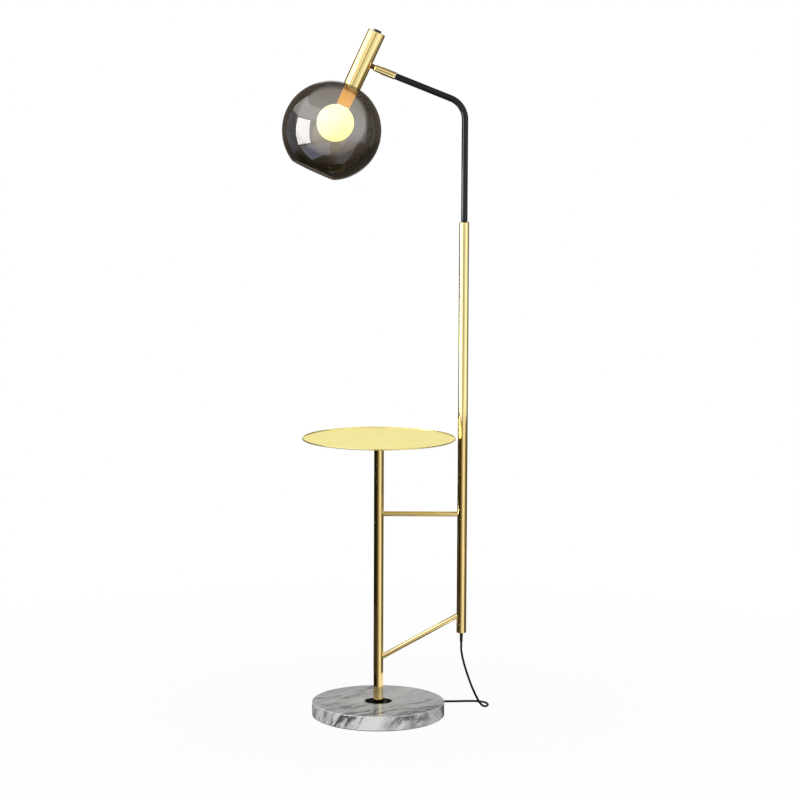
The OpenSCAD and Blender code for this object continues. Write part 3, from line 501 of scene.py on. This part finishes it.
def strap_mesh():
    """A thin band round the turns, with round corners and an end that laps over its start."""
    middle = (strap_low + strap_high) / 2
    size = strap_high - strap_low
    path = rounded_ring(size.x - strap_t, size.z - strap_t, strap_corner, 10)
    start = len(path) // 4 + 2
    path = path[start:] + path[:start]
    line = []
    for k, p in enumerate(path + path[:lap_points]):
        away = strap_t * 0.9 * ease((k - len(path) + lift_points) / lift_points)
        line.append(p + p.normalized() * away)
    rings = []
    for i, p in enumerate(line):
        ahead = (line[min(i + 1, len(line) - 1)] - line[max(i - 1, 0)]).normalized()
        side = Vector((ahead.y, -ahead.x)) * strap_t / 2
        ring = []
        for y, out in ((-1, 1), (1, 1), (1, -1), (-1, -1)):
            q = p + side * out
            ring.append(Vector((middle.x + q.x, middle.y + y * strap_w / 2, middle.z + q.y)))
        rings.append(ring)
    return rings


strap_weave = moulded("strap_weave", (0.06, 0.06, 0.062), 0.9, {"Sheen Weight": 0.3},
                      grain=2400, depth=0.6, mottling=0.25, dust=0.2)
coil_strap = lofted("coil_strap", strap_mesh(), strap_weave)
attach(coil_strap, "stand")
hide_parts("coil_tie")


# Marble base
# A polished disc of grey-veined white marble, turned and drilled, heavy enough to hold the lamp upright.
# It lies on a thin felt pad, and a black cup is let into it where the post stands.
VEIN_SHEET = Vector((-0.88, 1.0, 0.88)).normalized()
VEIN_ALONG = Vector((1.0, 0.0, 1.0)).normalized()
VEIN_ACROSS = VEIN_SHEET.cross(VEIN_ALONG)
BROAD_VEINS = {"Across": 26, "Along": 6.0, "Width": 0.075}
FINE_VEINS = {"Across": 62, "Along": 13, "Width": 0.05}
STONE_WHITE = (0.90, 0.90, 0.90, 1)
STONE_CLOUD = (0.62, 0.62, 0.625, 1)
FINE_GREY = (0.20, 0.20, 0.205, 1)
BROAD_GREY = (0.055, 0.055, 0.058, 1)
# Radii and heights of the thin white line painted round the top edge as a highlight.
painted_highlight_r = (0.1482, 0.1490)
painted_highlight_z = (0.0330, 0.0337)


def veins_group():
    """Thin dark veins and soft clouds that lie in slanting sheets through the stone."""
    tree, given, made = node_group(
        "ShaderNodeTree", "veins",
        [("Vector", "Vector", None), ("Across", "Float", 16.0), ("Along", "Float", 4.0),
         ("Warp", "Float", 0.02), ("Width", "Float", 0.09)],
        [("Vein", "Float"), ("Cloud", "Float")],
    )
    bend = node(tree, "ShaderNodeTexNoise", {"Vector": given["Vector"], "Scale": 9, "Detail": 4})
    centred = node(tree, "ShaderNodeVectorMath", {0: bend.outputs["Color"], 1: (0.5, 0.5, 0.5)},
                   operation="SUBTRACT")
    pushed = node(tree, "ShaderNodeVectorMath", {0: centred.outputs["Vector"], "Scale": given["Warp"]},
                  operation="SCALE")
    warped = node(tree, "ShaderNodeVectorMath", {0: given["Vector"], 1: pushed.outputs["Vector"]},
                  operation="ADD")
    parts = []
    for direction, stretch in ((VEIN_SHEET, "Across"), (VEIN_ALONG, "Along"), (VEIN_ACROSS, "Along")):
        dot = node(tree, "ShaderNodeVectorMath", {0: warped.outputs["Vector"], 1: direction},
                   operation="DOT_PRODUCT")
        scaled = node(tree, "ShaderNodeMath", {0: dot.outputs["Value"], 1: given[stretch]},
                      operation="MULTIPLY")
        parts.append(scaled.outputs[0])
    sheet = node(tree, "ShaderNodeCombineXYZ", {"X": parts[0], "Y": parts[1], "Z": parts[2]})
    field = node(tree, "ShaderNodeTexNoise",
                 {"Vector": sheet.outputs[0], "Scale": 1.0, "Detail": 7, "Roughness": 0.62,
                  "Distortion": 0.35})
    off = node(tree, "ShaderNodeMath", {0: field.outputs["Fac"], 1: 0.5}, operation="SUBTRACT")
    ridge = node(tree, "ShaderNodeMath", {0: off.outputs[0]}, operation="ABSOLUTE")
    vein = node(tree, "ShaderNodeMapRange",
                {"Value": ridge.outputs[0], "From Max": given["Width"], "To Min": 1.0, "To Max": 0.0},
                interpolation_type="SMOOTHSTEP")
    patch = node(tree, "ShaderNodeTexNoise",
                 {"Vector": sheet.outputs[0], "Scale": 0.45, "Detail": 5, "Roughness": 0.6})
    only = node(tree, "ShaderNodeMapRange",
                {"Value": patch.outputs["Fac"], "From Min": 0.45, "From Max": 0.60},
                interpolation_type="SMOOTHSTEP")
    broken = node(tree, "ShaderNodeMath", {0: vein.outputs["Result"], 1: only.outputs["Result"]},
                  operation="MULTIPLY")
    tree.links.new(broken.outputs[0], made["Vein"])
    tree.links.new(patch.outputs["Fac"], made["Cloud"])
    return tree


veins = veins_group()


def marble_stone():
    """White stone with grey clouds, two sizes of dark veins, a painted highlight along the top edge and a wax
    polish.
    """
    made, tree, shader = shaded("marble_stone", {
        "Roughness": 0.12, "Specular IOR Level": 0.40, "Coat Weight": 0.1, "Coat Roughness": 0.04})
    place = node(tree, "ShaderNodeTexCoord")
    broad = node(tree, "ShaderNodeGroup", node_tree=veins)
    fine = node(tree, "ShaderNodeGroup", node_tree=veins)
    moved = node(tree, "ShaderNodeMapping",
                 {"Vector": place.outputs["Object"], "Location": (0.31, 0.17, 0.4)})
    tree.links.new(place.outputs["Object"], broad.inputs["Vector"])
    tree.links.new(moved.outputs["Vector"], fine.inputs["Vector"])
    for layer, values in ((broad, BROAD_VEINS), (fine, FINE_VEINS)):
        for key, value in values.items():
            layer.inputs[key].default_value = value
    cloud = node(tree, "ShaderNodeMapRange",
                 {"Value": broad.outputs["Cloud"], "From Min": 0.35, "From Max": 0.65})
    ground = node(tree, "ShaderNodeMix",
                  {0: cloud.outputs["Result"], 6: STONE_WHITE, 7: STONE_CLOUD}, data_type="RGBA")
    with_fine = node(tree, "ShaderNodeMath", {0: fine.outputs["Vein"], 1: 0.42}, operation="MULTIPLY")
    greyed = node(tree, "ShaderNodeMix",
                  {0: with_fine.outputs[0], 6: ground.outputs[2], 7: FINE_GREY}, data_type="RGBA")
    with_broad = node(tree, "ShaderNodeMath", {0: broad.outputs["Vein"], 1: 0.95}, operation="MULTIPLY")
    veined = node(tree, "ShaderNodeMix",
                  {0: with_broad.outputs[0], 6: greyed.outputs[2], 7: BROAD_GREY}, data_type="RGBA")
    apart = node(tree, "ShaderNodeSeparateXYZ", {"Vector": place.outputs["Object"]})
    level = node(tree, "ShaderNodeCombineXYZ", {"X": apart.outputs["X"], "Y": apart.outputs["Y"]})
    radius = node(tree, "ShaderNodeVectorMath", {0: level.outputs[0]}, operation="LENGTH")
    # Painted highlight: a thin white line round the top edge, where the polished rounding would catch the
    # light.
    near_edge = node(tree, "ShaderNodeMapRange",
                     {"Value": radius.outputs["Value"], "From Min": painted_highlight_r[0],
                      "From Max": painted_highlight_r[1]})
    near_top = node(tree, "ShaderNodeMapRange",
                    {"Value": apart.outputs["Z"], "From Min": painted_highlight_z[0], "From Max": painted_highlight_z[1]})
    rim = node(tree, "ShaderNodeMath", {0: near_edge.outputs["Result"], 1: near_top.outputs["Result"]},
               operation="MULTIPLY")
    with_painted_highlight = node(tree, "ShaderNodeMix",
                 {0: rim.outputs[0], 6: veined.outputs[2], 7: (1.0, 1.0, 1.0, 1)}, data_type="RGBA")
    tree.links.new(with_painted_highlight.outputs[2], shader.inputs["Base Color"])
    return made


marble = marble_stone()
felt = moulded("felt_pad", (0.05, 0.05, 0.05), 0.95, {"Sheen Weight": 0.4},
               grain=1800, depth=0.8, mottling=0.3, dust=0.15)
cup_lacquer = moulded("cup_lacquer", (0.010, 0.010, 0.009), 0.28, grain=500, depth=0.05, dust=0.04)
dress(marble, "marble_base")
dress(felt, "base_pad")
dress(cup_lacquer, "recess_cup")


# Clamp under the base
# A steel plate, washer and nut on a threaded stud pull the post down on the cup from below.
# The plugs inside the tubes, the swivel's spindle and washers and the tongue's nut are zinc plated too.
zinc = plated("zinc_steel", (0.55, 0.56, 0.58), 0.34, smudges=0.2, tone=0.12)
dress(zinc, "clamp_plate", "stud_washer", "stud_nut", "post_stud", "post_foot_plug", "post_top_plug",
      "tube_end_plug", "tongue_nut", "swivel_washers", "arm_spindle")


# Post, pole and rungs
# Steel tubes with gold plating: the short post carries the tray, the tall pole carries the arm.
# Both rungs are coped to the tubes and brazed on before plating; turned end pieces close the pole.
GOLD = (0.93, 0.72, 0.31)
tube_gold = plated("tube_gold", GOLD, 0.06, lines=0.001, smudges=0.03, tone=0.03)
dress(tube_gold, "table_post", "main_pole", "cross_rung", "diagonal_rung", "pole_bottom_cap",
      "pole_top_collar", "tray_flange")
screw_black = plated("screw_black", (0.03, 0.03, 0.03), 0.35, smudges=0.1)
dress(screw_black, "arm_lock_screw")


# Tray
# A round steel tray, spun from sheet with a rolled rim. Its satin gold plating is paler than the tubes'.
# It is welded to a flange whose stud screws into the top of the post.
tray_gold = plated("tray_gold", (1.0, 0.85, 0.33), 0.20, lines=0.004, smudges=0.05, tone=0.02,
                   constants={"Specular Tint": (1.0, 0.97, 0.66, 1)})
dress(tray_gold, "tray_plate")


# Arm
# A bent steel tube with satin black powder coat. It sits in the collar of the pole, held by a set screw,
# rises, bends over the tray in one smooth curve and ends at the swivel.
arm_d = 0.0145
arm_wall = 0.0015
arm_bend_r = 0.050
arm_corner = Vector((pole_x, 0, 1.382))
arm_slope = math.radians(21.5)
arm_reach = 0.165
arm_along = Vector((-math.cos(arm_slope), 0, math.sin(arm_slope)))


def bent_tube_tree():
    """Rounds the corners of a path and draws a tube of even width along it."""
    tree, given, made = geometry_tree("bent_tube", [
        ("Radius", "Float", 0.007), ("Bend radius", "Float", 0.05), ("Material", "Material", None)])
    bent = node(tree, "GeometryNodeFilletCurve",
                {"Curve": given["Geometry"], "Radius": given["Bend radius"], "Count": 40}, mode="POLY")
    section = node(tree, "GeometryNodeCurvePrimitiveCircle", {"Resolution": 72, "Radius": given["Radius"]})
    tube = node(tree, "GeometryNodeCurveToMesh",
                {"Curve": bent.outputs["Curve"], "Profile Curve": section.outputs["Curve"]})
    smooth = node(tree, "GeometryNodeSetShadeSmooth", {"Geometry": tube.outputs["Mesh"]})
    whole = node(tree, "GeometryNodeRealizeInstances", {"Geometry": smooth.outputs[0]})
    dressed = node(tree, "GeometryNodeSetMaterial",
                   {"Geometry": whole.outputs[0], "Material": given["Material"]})
    tree.links.new(dressed.outputs[0], made["Geometry"])
    return tree


arm_path = bpy.data.curves.new("arm_path", "CURVE")
arm_path.dimensions = "3D"
arm_run = arm_path.splines.new("POLY")
arm_run.points.add(2)
arm_foot_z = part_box("arm_tube")[0].z
for point, at in zip(arm_run.points, (Vector((pole_x, 0, arm_foot_z)), arm_corner,
                                      arm_corner + arm_reach * arm_along)):
    point.co = (*at, 1)
satin_black = moulded("satin_black", (0.006, 0.006, 0.0065), 0.12, {"Specular IOR Level": 0.30},
                      grain=260, depth=0.02, mottling=0.1, dust=0.01)
black_arm = made_by(bent_tube_tree(), "black_arm",
                    {"Radius": arm_d / 2, "Bend radius": arm_bend_r, "Material": satin_black},
                    bpy.data.objects.new("arm_path", arm_path))
arm_shell = black_arm.modifiers.new("wall", "SOLIDIFY")
arm_shell.thickness = arm_wall
arm_shell.offset = -1
arm_graph = bpy.context.evaluated_depsgraph_get()
walled_arm = bpy.data.meshes.new_from_object(black_arm.evaluated_get(arm_graph))
walled_arm.set_sharp_from_angle(angle=sharp_from)
black_arm.modifiers.remove(arm_shell)
black_arm.data = walled_arm
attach(black_arm, "stand")
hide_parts("arm_tube")
lead_cover = moulded("lead_cover", (0.75, 0.75, 0.73), 0.5, grain=600, depth=0.1, mottling=0.05,
                     dust=0.05)
dress(lead_cover, "inner_lead", "head_leads")


# Swivel and knuckle
# A gold turned barrel turns about the end of the arm on a flanged spindle with thin washers.
# Its slotted end takes the dark tongue of the head between nylon washers, drawn up by one screw.
arm_turn = (0, math.pi / 2 - arm_slope, 0)
barrel_gold = plated("barrel_gold", (0.90, 0.68, 0.28), 0.10, turn=arm_turn, lines=0.006, smudges=0.05)
ring_gold = plated("ring_gold", (0.95, 0.78, 0.42), 0.10, turn=arm_turn, lines=0.006, smudges=0.04)
neck_bronze = plated("neck_bronze", (0.14, 0.080, 0.045), 0.26, lines=0.03, smudges=0.10)
nylon = moulded("nylon", (0.72, 0.71, 0.67), 0.55, grain=900, depth=0.1, mottling=0.04)
dress(barrel_gold, "swivel_barrel", "knuckle_screw")
dress(ring_gold, "end_ring")
dress(neck_bronze, "knuckle_tongue")
dress(nylon, "knuckle_washers")


# Head
# A gold tube, closed by a low domed cap that guides the black push button of the switch below it.
# The switch body hangs in the cap; two wires run from it, one to the neck and one to the lampholder.
head_lean = math.radians(24.75)
head_turn = (0, -head_lean, 0)
head_gold = plated("head_gold", GOLD, 0.07, turn=head_turn, lines=0.006, smudges=0.04, tone=0.03)
button_plastic = moulded("button_plastic", (0.012, 0.012, 0.012), 0.35, grain=900, depth=0.15, dust=0.03)
switch_plastic = moulded("switch_plastic", (0.11, 0.11, 0.115), 0.5, grain=900, depth=0.15)
dress(head_gold, "head_tube", "head_cap")
dress(button_plastic, "switch_button")
dress(switch_plastic, "switch_body")


# Sleeve, glass ring and gasket
# The turned sleeve carries the lampholder and screws up into the plug in the tube's end, so that its ring
# pulls the globe against a rubber gasket. Its amber glow inside the smoke glass is painted light: its own
# emission stands in for the bulb's light on it.
sleeve_gold_painted_glow = plated("sleeve_gold_painted_glow", (1.0, 0.66, 0.25), 0.34, turn=head_turn, lines=0.04, constants={
    "Metallic": 0.55, "Emission Color": (1.0, 0.52, 0.14, 1), "Emission Strength": 1.3})
gasket_rubber = moulded("gasket_rubber", (0.015, 0.015, 0.015), 0.7, grain=900, depth=0.2)
dress(sleeve_gold_painted_glow, "holder_sleeve")
dress(head_gold, "glass_ring")
dress(gasket_rubber, "glass_gasket")


# Lampholder
# A glazed ceramic body with a brass screw shell and a sprung centre contact, pressed into the sleeve.
# The bulb screws into the shell, and one of the head's two wires ends at the body.
ceramic = moulded("holder_ceramic", (0.80, 0.79, 0.75), 0.35, {"Coat Weight": 0.4},
                  grain=300, depth=0.06, mottling=0.04, dust=0.04)
brass = plated("contact_brass", (0.80, 0.58, 0.22), 0.28, smudges=0.15, tone=0.12)
dress(ceramic, "lampholder_body")
dress(brass, "screw_shell", "centre_contact")


# Globe
# A blown globe of smoke-grey glass, three millimetres thick, cut open below and melted round at the mouth.
# Painted shade darkens the wall in a band towards the outline, and the wall is also darker towards its mouth.
globe_z = 1.32277
globe_r = 0.110
foot_low = globe_z - 0.6 * globe_r
# Where the painted shade band lies, and its colour.
band_lift = 0.265
band_from = 0.23
band_to = 0.31
PAINTED_SHADE_TINT = (0.20, 0.175, 0.15, 1)
FOOT_TINT = (0.56, 0.52, 0.48, 1)
SMOKE_TINT = (0.36, 0.31, 0.26, 1)
smoke_density = 290


def smoke_glass():
    """Grey-brown glass, darker with the glass that light goes through, with painted shade in a band round its
    outline and darker at its foot.
    """
    made, tree, shader = shaded("smoke_glass", {
        "Base Color": (1, 1, 1, 1), "Metallic": 0.0, "Transmission Weight": 1.0, "IOR": 1.52})
    output = tree.nodes["Material Output"]
    place = node(tree, "ShaderNodeTexCoord")
    breath = node(tree, "ShaderNodeTexNoise",
                  {"Vector": place.outputs["Object"], "Scale": 14, "Detail": 4, "Distortion": 1.0})
    film = node(tree, "ShaderNodeMapRange",
                {"Value": breath.outputs["Fac"], "From Min": 0.45, "From Max": 0.75, "To Max": 0.03})
    tree.links.new(film.outputs["Result"], shader.inputs["Roughness"])
    seed = node(tree, "ShaderNodeTexNoise", {"Vector": place.outputs["Object"], "Scale": 22, "Detail": 2})
    ripple = node(tree, "ShaderNodeBump",
                  {"Height": seed.outputs["Fac"], "Strength": 0.05, "Distance": 0.0006})
    tree.links.new(ripple.outputs["Normal"], shader.inputs["Normal"])
    # Painted shade: a dark band towards the outline, by how slanting the wall is to the view, wider towards
    # the bottom.
    slant = node(tree, "ShaderNodeLayerWeight", {"Blend": 0.5})
    apart = node(tree, "ShaderNodeSeparateXYZ", {"Vector": place.outputs["Object"]})
    height = node(tree, "ShaderNodeMapRange",
                  {"Value": apart.outputs["Z"], "From Min": globe_z - globe_r,
                   "From Max": globe_z + globe_r, "To Min": band_lift, "To Max": -band_lift})
    lowered = node(tree, "ShaderNodeMath", {0: slant.outputs["Facing"], 1: height.outputs["Result"]},
                   operation="ADD")
    painted_shade_band = node(tree, "ShaderNodeMapRange",
                {"Value": lowered.outputs[0], "From Min": band_from, "From Max": band_to},
                interpolation_type="SMOOTHSTEP")
    foot = node(tree, "ShaderNodeMapRange",
                {"Value": apart.outputs["Z"], "From Min": foot_low, "From Max": globe_z},
                interpolation_type="SMOOTHSTEP")
    pale = node(tree, "ShaderNodeMix",
                {0: foot.outputs["Result"], 6: FOOT_TINT, 7: (1.0, 1.0, 1.0, 1)}, data_type="RGBA")
    with_painted_shade = node(tree, "ShaderNodeMix",
                  {0: painted_shade_band.outputs["Result"], 6: pale.outputs[2], 7: PAINTED_SHADE_TINT}, data_type="RGBA")
    tree.links.new(with_painted_shade.outputs[2], shader.inputs["Base Color"])
    path = node(tree, "ShaderNodeLightPath")
    clear = node(tree, "ShaderNodeBsdfTransparent", {"Color": (0.80, 0.78, 0.76, 1)})
    mixed = node(tree, "ShaderNodeMixShader",
                 {0: path.outputs["Is Shadow Ray"], 1: shader.outputs[0], 2: clear.outputs[0]})
    tree.links.new(mixed.outputs[0], output.inputs["Surface"])
    smoke = node(tree, "ShaderNodeVolumeAbsorption", {"Color": SMOKE_TINT, "Density": smoke_density})
    tree.links.new(smoke.outputs[0], output.inputs["Volume"])
    return made


dress(smoke_glass(), "glass_globe")


# Bulb
# A round bulb of blown opal glass that gives a pale yellow light, a little deeper to its lower right.
# A rolled metal screw cap is cemented to its neck, with a black glass insulator round its tip.
GLOW_PALES_TO = (-0.6, 0, 0.8)
glow_from = 1.105
glow_to = 1.165
GLOW_LOW = (1.0, 0.94, 0.24, 1)
GLOW_HIGH = (1.0, 0.95, 0.52, 1)


def opal_glass():
    """Opal glass lit from inside, whose glow is a little paler towards its upper left."""
    made, tree, shader = shaded("opal_glass", {"Emission Strength": 2.6})
    use_group(tree, shader, moulded_skin, {"Color": (0.9, 0.88, 0.7, 1), "Roughness": 0.3, "Grain": 60,
                                           "Depth": 0.01, "Mottling": 0.02, "Dust": 0.0})
    place = node(tree, "ShaderNodeTexCoord")
    along = node(tree, "ShaderNodeVectorMath", {0: place.outputs["Object"], 1: GLOW_PALES_TO},
                 operation="DOT_PRODUCT")
    haze = node(tree, "ShaderNodeTexNoise", {"Vector": place.outputs["Object"], "Scale": 18, "Detail": 3})
    share = node(tree, "ShaderNodeMapRange",
                 {"Value": along.outputs["Value"], "From Min": glow_from, "From Max": glow_to})
    uneven = node(tree, "ShaderNodeMath", {0: haze.outputs["Fac"], 1: 0.3, 2: share.outputs["Result"]},
                  operation="MULTIPLY_ADD", use_clamp=True)
    glow = node(tree, "ShaderNodeMix", {0: uneven.outputs[0], 6: GLOW_LOW, 7: GLOW_HIGH}, data_type="RGBA")
    tree.links.new(glow.outputs[2], shader.inputs["Emission Color"])
    return made


cap_nickel = plated("cap_nickel", (0.66, 0.65, 0.62), 0.3, smudges=0.15)
tip_glass = moulded("tip_glass", (0.02, 0.02, 0.022), 0.2, grain=200, depth=0.02)
dress(opal_glass(), "bulb_glass")
dress(cap_nickel, "bulb_cap")
dress(tip_glass, "bulb_tip")


# Studio
# A pale floor, a wide soft light panel to the left, a softer one to the right, and dim cards that only
# polished surfaces see, so that the tubes show their dark edges. None of it belongs to the lamp.
AZIMUTH_SHADES = (
    (-150, (0.010, 0.010, 0.008)), (-47, (0.014, 0.012, 0.008)), (-19, (0.15, 0.12, 0.07)),
    (5, (0.44, 0.40, 0.35)), (22, (0.92, 0.90, 0.90)), (35, (1.1, 1.1, 1.1)),
)
# Each card has its name, the two angles it runs between, its distance, foot and top, and its light.
LIGHT_CARDS = (
    ("left_light", -84, -42, 2.6, 0.22, 2.34, (1.9, 1.88, 1.84)),
    ("left_top_light", -84, -42, 2.6, 2.43, 5.0, (1.0, 1.0, 1.0)),
    ("fill_light", 10, 60, 3.0, 0.6, 2.6, (1.2, 1.2, 1.2)),
    ("front_light", -34, 34, 3.4, 0.0, 1.2, (3.0, 3.0, 3.0)),
)
GLOSS_CARDS = (
    ("left_panel", -88, -52, 2.6, 0.22, 2.34, (15.0, 14.9, 14.7)),
    ("near_panel", -79, -13, 0.6, 0.58, 1.08, (1.35, 1.55, 2.2)),
    ("upper_panel", -122, -12, 2.6, 2.43, 5.0, (2.6, 2.6, 2.55)),
    ("left_dim", -122, -89, 2.5, 0.0, 2.40, (0.36, 0.42, 0.55)),
    ("left_back", -168, -122, 2.2, 0.0, 5.0, (0.11, 0.09, 0.07)),
    ("centre_low", -12, 4, 2.4, 0.0, 0.95, (0.36, 0.40, 0.34)),
    ("centre_high", -8, 6, 2.4, 1.15, 2.3, (0.36, 0.42, 0.34)),
    ("right_fill", 32, 88, 3.0, 0.3, 2.6, (1.10, 1.30, 1.55)),
    ("centre_right", 5, 31, 2.4, 0.40, 0.95, (0.66, 0.72, 0.74)),
    ("right_low", 60, 105, 2.2, 0.0, 0.40, (0.20, 0.17, 0.12)),
    ("right", 89, 120, 2.2, 0.40, 4.0, (0.30, 0.32, 0.26)),
    ("right_back", 120, 168, 2.2, 0.40, 5.0, (0.10, 0.085, 0.06)),
    ("right_back_low", 105, 168, 2.2, 0.0, 0.40, (0.08, 0.065, 0.045)),
    ("behind_high", 168, 192, 2.2, 2.5, 5.0, (0.18, 0.17, 0.15)),
    ("behind", 168, 192, 3.0, 0.60, 0.94, (0.40, 0.40, 0.40)),
)
stage_z = 0.0006
ceiling_z = 4.0
angle_step = 3
floor_r = 12.0
FLOOR_WHITE_R = (0.3, 1.6)
floor_white_near = 0.955
room_light = 0.32


def seen_directly(tree):
    """1 for what the camera sees, also in a polished surface or through glass."""
    path = node(tree, "ShaderNodeLightPath")
    either = node(tree, "ShaderNodeMath",
                  {0: path.outputs["Is Camera Ray"], 1: path.outputs["Is Glossy Ray"]}, operation="MAXIMUM")
    return node(tree, "ShaderNodeMath", {0: either.outputs[0], 1: path.outputs["Is Transmission Ray"]},
                operation="MAXIMUM").outputs[0]


def emitter(name, colour, sampled):
    """A material of even light. What only polished surfaces see is left out of the light sampling."""
    made = bpy.data.materials.new(name)
    made.use_nodes = True
    tree = made.node_tree
    tree.nodes.remove(tree.nodes["Principled BSDF"])
    light = node(tree, "ShaderNodeEmission", {"Color": (*colour, 1), "Strength": 1.0})
    tree.links.new(light.outputs[0], tree.nodes["Material Output"].inputs["Surface"])
    made.cycles.emission_sampling = "FRONT_BACK" if sampled else "NONE"
    return made


def low_shade():
    """Black on the far left that grows pale towards the front, by the angle round the lamp."""
    made = bpy.data.materials.new("low_shade")
    made.use_nodes = True
    tree = made.node_tree
    tree.nodes.remove(tree.nodes["Principled BSDF"])
    place = node(tree, "ShaderNodeTexCoord")
    apart = node(tree, "ShaderNodeSeparateXYZ", {"Vector": place.outputs["Object"]})
    front = node(tree, "ShaderNodeMath", {0: apart.outputs["Y"], 1: -1.0}, operation="MULTIPLY")
    angle = node(tree, "ShaderNodeMath", {0: apart.outputs["X"], 1: front.outputs[0]}, operation="ARCTAN2")
    first, last = AZIMUTH_SHADES[0][0], AZIMUTH_SHADES[-1][0]
    share = node(tree, "ShaderNodeMapRange",
                 {"Value": angle.outputs[0], "From Min": math.radians(first),
                  "From Max": math.radians(last)})
    ramp = node(tree, "ShaderNodeValToRGB", {"Fac": share.outputs["Result"]})
    stops = ramp.color_ramp.elements
    for azimuth, colour in AZIMUTH_SHADES[1:-1]:
        stops.new((azimuth - first) / (last - first)).color = (*colour, 1)
    stops[0].color = (*AZIMUTH_SHADES[0][1], 1)
    stops[-1].color = (*AZIMUTH_SHADES[-1][1], 1)
    light = node(tree, "ShaderNodeEmission", {"Color": ramp.outputs["Color"], "Strength": 1.0})
    tree.links.new(light.outputs[0], tree.nodes["Material Output"].inputs["Surface"])
    made.cycles.emission_sampling = "NONE"
    return made


def stage_piece(name, points, faces, material, for_gloss):
    """A studio piece that the camera doesn't see: polished surfaces see it, or it lights matt ones."""
    mesh = bpy.data.meshes.new(name)
    mesh.from_pydata(points, [], faces)
    mesh.materials.append(material)
    made = bpy.data.objects.new(name, mesh)
    bpy.context.scene.collection.objects.link(made)
    made.visible_camera = False
    made.visible_transmission = False
    made.visible_shadow = False
    made.visible_diffuse = not for_gloss
    made.visible_glossy = for_gloss


def around(start, end):
    """Directions round the lamp; their angles go from the camera's side to the right."""
    steps = max(2, round(abs(end - start) / angle_step))
    angles = [math.radians(start + (end - start) * k / steps) for k in range(steps + 1)]
    return [Vector((math.sin(a), -math.cos(a), 0)) for a in angles]


def card(name, start, end, distance, low, high, material, for_gloss=True):
    """An upright curved card that faces the lamp."""
    points = [away * distance + Vector((0, 0, z)) for away in around(start, end) for z in (low, high)]
    faces = [[k, k + 2, k + 3, k + 1] for k in range(0, len(points) - 2, 2)]
    stage_piece(name, points, faces, material, for_gloss)


def disc(name, start, end, inner, outer, height, material):
    """A level ring or part of one that only polished surfaces see."""
    points = [away * r + Vector((0, 0, height)) for away in around(start, end) for r in (inner, outer)]
    faces = [[k, k + 1, k + 3, k + 2] for k in range(0, len(points) - 2, 2)]
    stage_piece(name, points, faces, material, True)


for name, *place, level in LIGHT_CARDS:
    card(name, *place, emitter(name, level, True), for_gloss=False)
for name, *place, level in GLOSS_CARDS:
    card(name, *place, emitter(name, level, False))
slanting_shade = low_shade()
dark_shade = emitter("dark_shade", (0.06, 0.05, 0.03), False)
floor_shade = emitter("floor_shade", (0.13, 0.11, 0.09), False)
rim_shade = emitter("ceiling_rim", (0.50, 0.50, 0.50), False)
disc("ceiling", 0, 360, 0.0001, 1.2, ceiling_z, dark_shade)
disc("ceiling_rim", 0, 360, 1.2, 2.3, ceiling_z, rim_shade)
disc("floor_middle", 0, 360, 0.0001, 0.26, stage_z, dark_shade)
disc("floor_left", -150, 34, 0.26, 1.2, stage_z, slanting_shade)
disc("floor_far", 66, 330, 0.42, 3.2, stage_z, floor_shade)
disc("floor_front", -30, 20, 1.25, 3.2, stage_z, floor_shade)
card("low_left", -150, 34, 1.2, 0.0, 0.51, slanting_shade)

floor_mesh = bpy.data.meshes.new("floor")
floor_shape = bmesh.new()
bmesh.ops.create_circle(floor_shape, cap_ends=True, radius=floor_r, segments=96)
floor_shape.to_mesh(floor_mesh)
floor_shape.free()
floor = bpy.data.objects.new("floor", floor_mesh)
bpy.context.scene.collection.objects.link(floor)


def pale_floor():
    """A matt white floor that keeps a light shadow near the lamp and runs out into the white background."""
    made, tree, shader = shaded("pale_floor", {"Base Color": (0.82, 0.82, 0.82, 1), "Roughness": 0.9})
    place = node(tree, "ShaderNodeTexCoord")
    away = node(tree, "ShaderNodeVectorMath", {0: place.outputs["Object"]}, operation="LENGTH")
    white = node(tree, "ShaderNodeMapRange",
                 {"Value": away.outputs["Value"], "From Min": FLOOR_WHITE_R[0],
                  "From Max": FLOOR_WHITE_R[1], "To Min": floor_white_near, "To Max": 1.0})
    share = node(tree, "ShaderNodeMath", {0: white.outputs["Result"], 1: seen_directly(tree)},
                 operation="MULTIPLY")
    glow = node(tree, "ShaderNodeEmission", {"Color": (1, 1, 1, 1), "Strength": 1.0})
    mixed = node(tree, "ShaderNodeMixShader",
                 {0: share.outputs[0], 1: shader.outputs[0], 2: glow.outputs[0]})
    tree.links.new(mixed.outputs[0], tree.nodes["Material Output"].inputs["Surface"])
    return made


floor.data.materials.append(pale_floor())

world = bpy.data.worlds.new("studio")
bpy.context.scene.world = world
world.use_nodes = True
sky = world.node_tree
for old in list(sky.nodes):
    sky.nodes.remove(old)
dim = node(sky, "ShaderNodeBackground", {"Color": (1, 1, 1, 1), "Strength": room_light})
bright = node(sky, "ShaderNodeBackground", {"Color": (1, 1, 1, 1), "Strength": 1.0})
both = node(sky, "ShaderNodeMixShader", {0: seen_directly(sky), 1: dim.outputs[0], 2: bright.outputs[0]})
sky_output = node(sky, "ShaderNodeOutputWorld")
sky.links.new(both.outputs[0], sky_output.inputs["Surface"])
